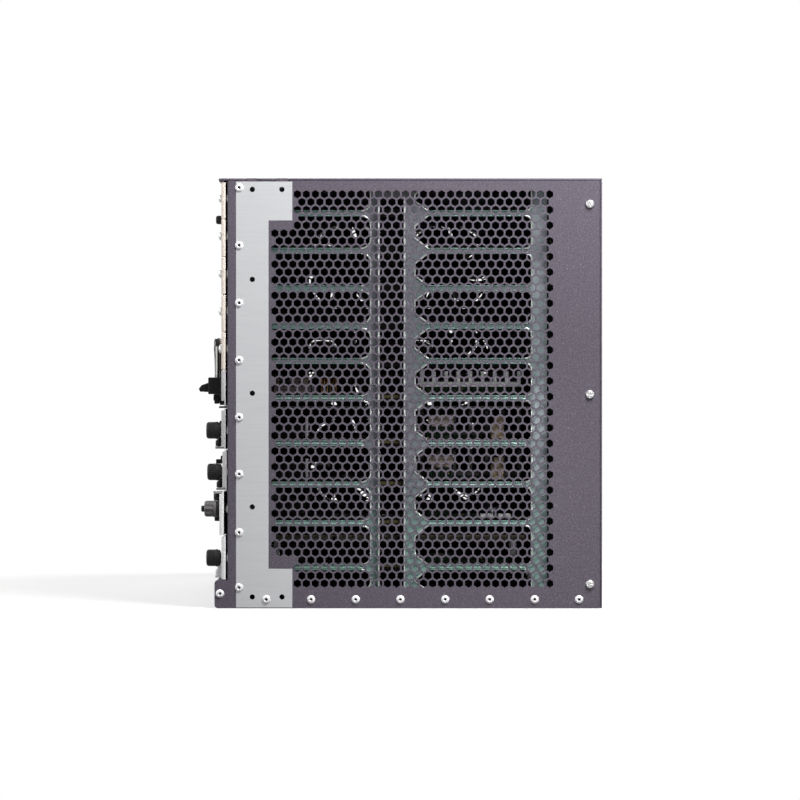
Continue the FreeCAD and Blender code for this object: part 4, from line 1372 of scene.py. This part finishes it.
def make_handle():
    """Folding handle: a round bar bent twice, with a drilled eye at each foot."""
    low, high = span("power_handle")
    radius = (high.y - low.y) / 2
    y = (low.y + high.y) / 2
    pivot = low.z + radius
    left, right, top = low.x + radius, high.x - radius, high.z - radius
    bend = top - HANDLE_BEND
    path = [(left, pivot + HANDLE_LEG)] + arc(left + HANDLE_BEND, bend, HANDLE_BEND, 180, 90, 8)
    path += arc(right - HANDLE_BEND, bend, HANDLE_BEND, 90, 0, 8) + [(right, pivot + HANDLE_LEG)]
    bm = bmesh.new()
    sweep(bm, [(x, y, z) for x, z in path], radius, 24)
    quarter = Matrix.Rotation(math.pi / 2, 4, "Y")
    wide = 2 * radius
    eye = ((HANDLE_EYE, 0.0), (radius, 0.0), (radius, wide), (HANDLE_EYE, wide), (HANDLE_EYE, 0.0))
    for x in (low.x, high.x - wide):
        lathe(bm, eye, 32, Matrix.Translation((x, y, pivot)) @ quarter)
    bmesh.ops.remove_doubles(bm, verts=bm.verts, dist=HANDLE_MERGE)
    face_outwards(bm)
    bar = piece("power_handle_skin", bm, "gloss_black", HARD_ANGLE)
    declare(bar, "power_handle", "black_plastic", "power_handle")


# Parts set on the faceplates: a hair's gap under them, and how far a plate's face lies before its rear
SEAT = 0.02
FACE_DEPTH = 2.6

# Switch housing, each pair of cheeks: inner and outer reach from the middle, depth, foot and head
SWITCH_CHEEKS = ((2.25, 5.2, 8.7, 131.7, 142.1), (2.3, 7.0, 1.4, 129.6, 143.8))

# Lugs of the handle: gap to its legs, outer face and half height; strip of painted highlight along its legs
LUG_GAP = 0.1
LUG_OUT = 1.85
LUG_HALF = 1.95
HIGHLIGHT_PROUD = 0.08
HIGHLIGHT_DEPTH = 0.6
HIGHLIGHT_BAND = (0.3, 0.58)
HIGHLIGHT_LEVELS = (132.5, 161.5)

# Spring catch under the handle: its block, and the pin about Y
CATCH_LOW = (196.4, -111.7, 125.0)
CATCH_HIGH = (203.0, PLATE_FRONT + 1.0, 128.3)
CATCH_PIN_AT = (199.6, -111.7, 127.0)
CATCH_PIN = ((0.0, 3.5), (0.9, 3.5), (1.25, 3.1), (1.25, 0.6), (0.8, 0.4), (0.8, -0.2), (0.0, -0.2))

# Rolled hem along the front of the cover
HEM_FOOT = 262.48
HEM_DEPTH = 3.6

# Latch blocks of the control cards: reach from the face, foot and head over the knob's middle, and how
# much lower each card's block is set
LATCH_X = (186.0, 196.0)
LATCH_NOSE = (5.2, 4.7, 7.4)
LATCH_BACK = (2.3, 7.0, 9.6)
LATCH_DROP = {"control_card_1": 2.4, "control_card_2": 0.0}
LATCH_DROP_SHARE = 1.6
LATCH_PLATE_X = (202.6, 209.2)
LATCH_PLATE_Z = (53.2, 67.4)
LATCH_PLATE_DEPTH = 3.6


def plate_face(card):
    """Front face of a card's faceplate."""
    return span(f"{card}_faceplate")[1].y - FACE_DEPTH


def make_switch_housing():
    """Black housing of the switch: cheeks on wider feet at both sides of the lever."""
    low, high = span("power_switch_lever")
    middle = (low.x + high.x) / 2
    cheeks = []
    for side in (-1, 1):
        for inner, outer, depth, foot, head in SWITCH_CHEEKS:
            near, far = sorted((middle + side * inner, middle + side * outer))
            cheeks.append(((near, PLATE_FRONT - depth, foot), (far, PLATE_FRONT - SEAT, head)))
    rounded_blocks("power_switch_housing", cheeks, "black_plastic", 0.6, "power_card", "black_plastic")


def make_handle_fittings():
    """Lugs that carry the handle, and a near-white strip of painted highlight along its legs."""
    low, high = span("power_handle")
    wide = high.y - low.y
    middle = low.z + wide / 2
    sides = ((low.x - LUG_OUT, low.x - LUG_GAP), (high.x + LUG_GAP, high.x + LUG_OUT))
    lugs = [((near, low.y - LUG_GAP, middle - LUG_HALF), (far, PLATE_FRONT - SEAT, middle + LUG_HALF))
            for near, far in sides]
    rounded_blocks("power_handle_ears", lugs, "black_plastic", 0.4, "power_card", "black_plastic")
    # Painted highlight: a near-white strip set into each leg where the glossy bar's reflection runs.
    front, rear = [low.y + share * wide for share in HIGHLIGHT_BAND]
    foot, head = HIGHLIGHT_LEVELS
    sides = ((low.x - HIGHLIGHT_PROUD, low.x + HIGHLIGHT_DEPTH), (high.x - HIGHLIGHT_DEPTH, high.x + HIGHLIGHT_PROUD))
    highlight_strips = [((near, front, foot), (far, rear, head)) for near, far in sides]
    rounded_blocks("power_handle_inlay", highlight_strips, "painted_highlight", 0.1, "power_handle", "plated_steel")


def make_catch():
    """Spring catch of the power card, below the handle."""
    bm = bmesh.new()
    block(bm, CATCH_LOW, CATCH_HIGH)
    lathe(bm, CATCH_PIN, 20, Matrix.Translation(CATCH_PIN_AT) @ Matrix.Rotation(math.pi / 2, 4, "X"))
    face_outwards(bm)
    declare(piece("power_card_catch", bm, "black_plastic", SMOOTH_ANGLE), "power_card", "black_plastic")


def make_hem():
    """Rolled hem along the front of the cover."""
    low, high = span("top_cover")
    hem = [((low.x, low.y, HEM_FOOT), (high.x, low.y + HEM_DEPTH, high.z + SEAT))]
    rounded_blocks("cover_hem", hem, "body_paint", 0.95, "chassis", "body_paint")


def make_latches():
    """Stepped latch blocks over the knobs of the control cards, and the plate behind a line card's knob."""
    left, right = LATCH_X
    for card, drop in LATCH_DROP.items():
        low, high = span(f"{card}_knob_right")
        z = (low.z + high.z) / 2
        face = plate_face(card)
        reach, foot, head = LATCH_NOSE
        steps = [((left, face - reach + drop, z + foot - drop), (right, face - SEAT, z + head - drop))]
        reach, foot, head = LATCH_BACK
        head -= LATCH_DROP_SHARE * drop
        steps.append(((left, face - reach, z + foot - drop), (right, face - SEAT, z + head)))
        rounded_blocks(f"{card}_latch_block", steps, "black_plastic", 0.35, card, "black_plastic")
    face = plate_face("line_card_1")
    plate = [((LATCH_PLATE_X[0], face - LATCH_PLATE_DEPTH, LATCH_PLATE_Z[0]),
              (LATCH_PLATE_X[1], face - SEAT, LATCH_PLATE_Z[1]))]
    rounded_blocks("line_card_1_latch_plate", plate, "black_plastic", 0.5, "line_card_1", "black_plastic")


GASKET_X = (211.3, 212.1)
GASKET_GAP = 0.1
GASKET_END = 0.4
FOAM_LOW = (-219.4, 79.4, 19.0)
FOAM_HIGH = (-206.0, 90.6, 261.5)


def make_seals():
    """Black gasket strips behind the front plates, and the foam that closes the fan bay behind the tray."""
    plates = [node for node in SLOT_OF if "blank_panel" in node or node.endswith("faceplate")]
    near, far = GASKET_X
    for node in plates:
        low, high = span(node)
        strip = [((near, high.y, low.z + GASKET_END), (far, FRONT - GASKET_GAP, high.z - GASKET_END))]
        rounded_blocks(f"{node}_gasket", strip, "foam_black", 0.1, BODY_OF[node], "black_plastic")
    rounded_blocks("fan_bay_foam", [(FOAM_LOW, FOAM_HIGH)], "foam_black", 1.0, "chassis", "black_plastic")


FAN_BLADES = 7
FAN_HUB = 15.0
FAN_TIP = 31.9
FAN_REACH = (-198.9, -175.6)
FAN_CAP = ((0.0, -199.6), (9.0, -199.6), (13.2, -199.2), (14.6, -198.2), (FAN_HUB, -196.6),
           (FAN_HUB, -174.8), (13.6, -174.8), (13.6, -178.0), (2.0, -178.0), (2.0, -174.0), (0.0, -174.0))

# Blades: how far a root sits in the hub, share of the depth, span and sweep in radians, thickness
BLADE_ROOT = 0.4
BLADE_SHARE = 0.86
BLADE_SPAN = 0.84
BLADE_SWEEP = 0.3
BLADE_THICK = 0.9


def blade_tree():
    """Fan blades about X: a grid bent round the hub, swept, thickened and set in a ring on every point."""
    tree, inp = new_tree("fan_blades", (
        ("Blades", "Int"), ("Hub", "Float"), ("Tip", "Float"), ("Depth", "Float"), ("Span", "Float"),
        ("Sweep", "Float"), ("Thickness", "Float"), ("Material", "Material")))
    start = inp["Geometry"]
    grid = start.node("GeometryNodeMeshGrid", {}, {0: 1.0, 1: 1.0, 2: 9, 3: 8})
    at = start.node("GeometryNodeInputPosition")
    out = axis_of(at, "X") + 0.5
    along = axis_of(at, "Y")
    radius = inp["Hub"] - BLADE_ROOT * MM + out * (inp["Tip"] - inp["Hub"])
    angle = along * inp["Span"] * (1.0 - out * 0.12) + out * out * inp["Sweep"]
    axial = along * inp["Depth"] * (1.0 - out * 0.3) + (0.25 - along * along) * inp["Depth"] * 0.3
    spot = start.node("ShaderNodeCombineXYZ", {}, {
        "X": axial, "Y": radius * angle.math("COSINE"), "Z": radius * angle.math("SINE")})
    grid = start.node("GeometryNodeSetPosition", {}, {"Geometry": grid, "Position": spot})
    blade = start.node("GeometryNodeSetShadeSmooth", {}, {"Geometry": thickened(grid, inp["Thickness"])})
    ring = start.node("GeometryNodeMeshLine", {}, {"Count": inp["Blades"], "Offset": (0.0, 0.0, 0.0)})
    turn = start.node("GeometryNodeInputIndex") * (math.tau / FAN_BLADES)
    wheel = copies(points_of(ring), blade, Rotation=rotation("X", turn))
    end_tree(copies(points_of(start), wheel), inp["Material"])
    return tree


def make_fans():
    """Fan rotors: a capped hub and seven swept blades each."""
    blades = blade_tree()
    front, rear = FAN_REACH
    sizes = {
        "Blades": FAN_BLADES, "Hub": FAN_HUB * MM, "Tip": FAN_TIP * MM,
        "Depth": (rear - front) * MM * BLADE_SHARE, "Span": BLADE_SPAN, "Sweep": BLADE_SWEEP,
        "Thickness": BLADE_THICK * MM, "Material": finishes["black_plastic"],
    }
    along_x = Matrix.Rotation(math.pi / 2, 4, "Y")
    for number in range(1, 7):
        node = f"fan_rotor_{number}"
        low, high = span(node)
        y, z = (low.y + high.y) / 2, (low.z + high.z) / 2
        seat = point_mesh(f"{node}_point", [((front + rear) / 2, y, z)])
        wheel = grown(f"{node}_blades", seat, blades, sizes)
        declare(wheel, BODY_OF[node], "black_plastic", node)
        bm = bmesh.new()
        lathe(bm, FAN_CAP, 48, Matrix.Translation((0.0, y, z)) @ along_x)
        face_outwards(bm)
        declare(piece(f"{node}_hub", bm, "black_plastic", SMOOTH_ANGLE), BODY_OF[node], "black_plastic")


def parts_tree():
    """Scatters a part over a rectangle on every point: kept apart, turned and scaled, all seeded."""
    tree, inp = new_tree("board_parts", (
        ("Part", "Object"), ("Size X", "Float"), ("Size Y", "Float"), ("Apart", "Float"),
        ("Smallest", "Float"), ("Largest", "Float"), ("Seed", "Int"), ("Material", "Material")))
    start = inp["Geometry"]
    seed = inp["Seed"]
    grid = start.node("GeometryNodeMeshGrid", {}, {0: inp["Size X"], 1: inp["Size Y"], 2: 2, 3: 2})
    spots = start.node("GeometryNodeDistributePointsOnFaces", {"distribute_method": "POISSON"}, {
        "Mesh": grid, "Distance Min": inp["Apart"], "Density Max": 40000.0, "Seed": seed})
    quarter = random_between(start, 0.0, 4.0, seed).math("FLOOR")
    size = random_between(start, inp["Smallest"], inp["Largest"], seed + 1.0)
    part = start.node("GeometryNodeObjectInfo", {}, {"Object": inp["Part"]}, "Geometry")
    parts = copies(spots, part, Rotation=rotation("Z", quarter * (math.pi / 2)), Scale=size)
    end_tree(copies(points_of(start), parts), inp["Material"])
    return tree


CHIP = (((-4.5, -3.0, 0.25), (4.5, 3.0, 1.7)), ((-4.0, -4.0, 0.0), (4.0, 4.0, 0.45)))
CHIP_CAP = (((-1.0, -0.7, 0.0), (1.0, 0.7, 1.1)),
            ((-1.3, -0.75, 0.0), (-0.8, 0.75, 1.15)),
            ((0.8, -0.75, 0.0), (1.3, 0.75, 1.15)))
CAN = ((0.0, 7.6), (2.6, 7.6), (3.0, 7.2), (3.0, 1.0), (2.8, 0.7), (3.1, 0.4), (3.1, 0.0), (0.0, 0.0))

# Field of every card as left, front, right and rear, then the chips' distance, smallest and largest scale
CARD_FIELDS = {
    "power_card": ((-140.0, -70.0, 170.0, 6.0), 22.0, 0.9, 1.5),
    "control_card_1": ((-150.0, -56.0, 176.0, 8.0), 17.0, 0.8, 1.7),
    "control_card_2": ((-150.0, -56.0, 176.0, 8.0), 17.0, 0.8, 1.7),
    "line_card_1": ((-150.0, -56.0, 176.0, 44.0), 21.0, 0.8, 2.0),
    "line_card_2": ((-150.0, -56.0, 110.0, 44.0), 21.0, 0.8, 2.0),
}
FIRST_SEED = 21
SMALL_PARTS = (7.5, 0.7, 1.5)
CANS = (15.0, 0.8, 1.0)
CAN_BAND = 18.0
CAN_BEHIND = 16.0
CAN_AHEAD = 12.0


def part_object(name, blocks, finish="chip_black"):
    """A small part of a few boxes."""
    bm = bmesh.new()
    for low, high in blocks:
        block(bm, low, high)
    return piece(name, bm, finish)


def make_board_parts():
    """Chips, capacitors and cans scattered over the cards, clear of cages, heat sinks and guides."""
    tree = parts_tree()
    chip = part_object("chip", CHIP)
    small = part_object("chip_cap", CHIP_CAP)
    can = head_object("can", CAN, 12)
    for number, (card, ((x0, y0, x1, y1), *chips)) in enumerate(CARD_FIELDS.items()):
        x, y = (x0 + x1) / 2, (y0 + y1) / 2
        band = y1 + CAN_BEHIND if "line" in card else y0 + CAN_AHEAD
        kinds = [("chips", chip, y, y1 - y0, chips, "chip_black", "black_plastic"),
                 ("small_parts", small, y, y1 - y0, SMALL_PARTS, "beige_block", "guide_plastic")]
        if "control" not in card:
            kinds.append(("cans", can, band, CAN_BAND, CANS, "can_metal", "sink_aluminium"))
        for word, part, middle, deep, (apart, least, most), finish, slot in kinds:
            name = f"{card}_{word}"
            seat = point_mesh(f"{name}_spot", [(x, middle, BOARD_TOPS[card])])
            parts = grown(name, seat, tree, {
                "Part": part, "Size X": (x1 - x0) * MM, "Size Y": deep * MM, "Apart": apart * MM,
                "Smallest": least, "Largest": most, "Seed": FIRST_SEED + number,
                "Material": finishes[finish]})
            declare(parts, card, slot)
    discard(chip, small, can)


# Taller parts along the right edge of the cards: name, finish, rounding, slot and blocks over the board
CONTROL_EDGE = (
    ("edge_connector", "beige_block", 0.3, "guide_plastic",
     [((186.0, 17.6, 11.2), (198.6, 33.4, 16.3)), ((188.0, 19.5, 8.8), (196.5, 31.5, 11.6))]),
    ("edge_capacitor", "brown_block", 0.5, "guide_plastic",
     [((184.8, 58.6, 0.1), (199.2, 64.6, 15.7)), ((184.7, 56.8, 0.05), (199.3, 64.3, 11.3))]),
    ("edge_posts", "can_metal", 0.4, "sink_aluminium",
     [((189.0, y, 0.0), (191.0, y + 2.0, 15.0)) for y in (-59.0, 9.0)]),
)
CAPACITORS = ((-77.8, 3.6), (-69.0, 6.8), (-60.9, 4.7))
TURNS = 6
TURN_PITCH = 1.8
POWER_EDGE = (
    ("edge_seat", "mauve_block", 0.5, "guide_plastic",
     [((184.8, -78.2, 0.1), (199.2, -55.0, 6.5)), ((186.0, -77.0, 3.0), (198.0, -56.0, 7.0))]),
    ("edge_capacitors", "beige_block", 0.7, "guide_plastic",
     [((185.0, y, 6.3), (199.0, y + wide, 11.2)) for y, wide in CAPACITORS]),
    ("edge_winding", "winding", 0.5, "guide_plastic",
     [((184.7, -49.0 + TURN_PITCH * k, 0.1), (199.3, -48.1 + TURN_PITCH * k, 11.2)) for k in range(TURNS)]),
)
LINE_EDGE = (
    ("edge_cans", "screw_metal", 0.4, "sink_aluminium",
     [((194.0, y, 0.0), (200.0, y + 3.4, 4.6)) for y in (50.0, 54.6, 61.0, 65.6)]),
)

# Upper board of the lowest card, the strip of connectors under its edge and its posts
UPPER_LEFT_FRONT = (118.0, -84.0)
UPPER_RIGHT_REAR = (202.6, 78.0)
STRIPS = 4
STRIP_PITCH = 40.2
UPPER_EDGE = (
    ("upper_strip", "olive_block", 0.3, "guide_plastic",
     [((197.0, -80.0 + STRIP_PITCH * k, 15.2), (202.4, -41.5 + STRIP_PITCH * k, 17.6))
      for k in range(STRIPS)]),
    ("upper_posts", "can_metal", 0.4, "sink_aluminium",
     [((x, y, 0.0), (x + 4.0, y + 4.0, 17.6)) for x in (122.0, 156.0) for y in (-80.0, 70.0)]),
)
EDGE_PARTS = (
    ("control_card_1", CONTROL_EDGE), ("control_card_2", CONTROL_EDGE), ("power_card", POWER_EDGE),
    ("line_card_1", LINE_EDGE),
)


def edge_parts(card, parts):
    """Blocks of one card, raised to the top of its board."""
    top = BOARD_TOPS[card]
    for word, finish, width, slot, blocks in parts:
        raised = [((x0, y0, top + z0), (x1, y1, top + z1)) for (x0, y0, z0), (x1, y1, z1) in blocks]
        rounded_blocks(f"{card}_{word}", raised, finish, width, card, slot)


def make_card_edges():
    """Taller parts along the right edge of the cards, which the side holes show."""
    for card, parts in EDGE_PARTS:
        edge_parts(card, parts)
    foot, head = UPPER_BOARD
    deck = [((*UPPER_LEFT_FRONT, foot), (*UPPER_RIGHT_REAR, head))]
    rounded_blocks("line_card_2_upper_board", deck, "upper_board", 0.15, "line_card_2", "circuit_board")
    edge_parts("line_card_2", UPPER_EDGE)


DARK_SINKS = ("control_card_1_heat_sink", "control_card_2_heat_sink")


def dress_solids():
    """Finishes on the solids that stay as they are."""
    for node, obj in frame["nodes"].items():
        for holder in obj.material_slots:
            holder.material = finishes["black_sink" if node in DARK_SINKS else SLOT_OF[node]]


# White studio, in metres, watts and degrees: floor, and how much of it glows near the object and farther out
FLOOR_HALF = 6
FLOOR_DROP = 0.0002
FLOOR_NEAR = 0.35
FLOOR_FAR = 1.0
FLOOR_GLOW = 0.6

# Lamps: name, kind, place, target, size of a square lamp or cone of a spot lamp, and power
LAMPS = (
    ("key", "AREA", (0.56, 0.27, 0.7), (0.22, 0.06, 0.22), 0.3, 9.4),
    ("low", "SPOT", (0.95, 0.4, 0.2), (0.21, 0.04, 0.03), 20.0, 6.0),
    ("fill", "AREA", (0.9, -0.9, 0.25), (0.22, -0.1, 0.04), 0.3, 1.2),
    ("front", "AREA", (-0.15, -2.2, 1.2), (0.0, -0.1, 0.12), 1.4, 44.0),
    ("back", "AREA", (-0.9, 2.2, 1.7), (0.0, 0.1, 0.13), 1.6, 60.0),
    ("left", "AREA", (-2.2, -0.1, 1.3), (-0.2, 0.0, 0.13), 1.2, 34.0),
)
SPOT_SOFT = 0.012


def light_path(start):
    """1 for rays straight from the camera, off a mirror and through glass, each by itself."""
    kinds = ("Is Camera Ray", "Is Glossy Ray", "Is Transmission Ray")
    return [start.node("ShaderNodeLightPath", out=kind) for kind in kinds]


def white_floor():
    """A pale floor that stays white to the camera but keeps the shadow."""
    corners = [(-FLOOR_HALF, -FLOOR_HALF, 0), (FLOOR_HALF, -FLOOR_HALF, 0)]
    corners += [(FLOOR_HALF, FLOOR_HALF, 0), (-FLOOR_HALF, FLOOR_HALF, 0)]
    mesh = bpy.data.meshes.new("floor")
    mesh.from_pydata(corners, [], [(0, 1, 2, 3)])
    floor = linked("floor", mesh)
    floor.location.z = -FLOOR_DROP
    material = bpy.data.materials.new("floor_white")
    material.use_nodes = True
    material.node_tree.nodes.clear()
    start = Wire(material.node_tree)
    camera, glossy, clear = light_path(start)
    seen = (camera + glossy + clear).math("MINIMUM", 1.0)
    glow = start.node("ShaderNodeEmission", {}, {"Color": (1, 1, 1, 1), "Strength": 1.0})
    dull = start.node("ShaderNodeBsdfDiffuse", {}, {"Color": 0.12 + camera * 0.78})
    away = start.node("ShaderNodeVectorMath", {"operation": "LENGTH"}, {0: place(start)}, "Value")
    share = FLOOR_GLOW + step(away, FLOOR_NEAR, FLOOR_FAR) * (1.0 - FLOOR_GLOW)
    mixed = start.node("ShaderNodeMixShader", {}, {0: seen * share, 1: dull, 2: glow})
    start.node("ShaderNodeOutputMaterial", {}, {"Surface": mixed})
    mesh.materials.append(material)


def white_world():
    """A white studio: plain light on the object, full white to the camera and in reflections."""
    world = bpy.data.worlds.new("studio")
    bpy.context.scene.world = world
    world.use_nodes = True
    world.node_tree.nodes.clear()
    start = Wire(world.node_tree)
    camera, glossy, clear = light_path(start)
    seen = (camera + glossy * 0.6 + clear).math("MINIMUM", 1.0)
    strength = 0.05 + seen * 0.95
    sky = start.node("ShaderNodeBackground", {}, {"Color": (1, 1, 1, 1), "Strength": strength})
    start.node("ShaderNodeOutputWorld", {}, {"Surface": sky})


def lamp(name, kind, spot, target, size, power):
    """A soft square lamp, or a spot lamp with a soft-edged cone, that looks at a point."""
    light = bpy.data.lights.new(name, kind)
    light.energy = power
    if kind == "AREA":
        light.shape = "SQUARE"
        light.size = size
    else:
        light.shadow_soft_size = SPOT_SOFT
        light.spot_size = math.radians(size)
        light.spot_blend = 1.0
    obj = linked(name, light)
    obj.location = spot
    obj.rotation_euler = (Vector(target) - Vector(spot)).to_track_quat("-Z", "Y").to_euler()


def make_camera():
    """The camera at the right side of the body, level with its middle."""
    camera = bpy.data.cameras.new("camera")
    camera.sensor_width = SENSOR
    camera.lens = SENSOR * VIEW_DISTANCE / VIEW_WIDTH
    camera.clip_end = VIEW_END
    obj = linked("camera", camera)
    obj.location = ((HALF + VIEW_DISTANCE) * MM, VIEW_Y * MM, VIEW_Z * MM)
    obj.rotation_euler = (math.pi / 2, 0.0, math.pi / 2)
    bpy.context.scene.camera = obj


def make_studio():
    """Floor, world, lamps and camera."""
    white_floor()
    white_world()
    for row in LAMPS:
        lamp(*row)
    make_camera()
    bpy.context.scene.view_settings.view_transform = "Standard"


dress_solids()
make_side_panels()
make_cage_wall()
make_rims()
make_eased()
make_switch_housing()
make_handle_fittings()
make_catch()
make_hem()
make_latches()
make_handle()
make_knobs()
make_fasteners()
make_ports()
make_cover_screws()
make_seals()
make_fans()
make_board_parts()
make_card_edges()
make_studio()
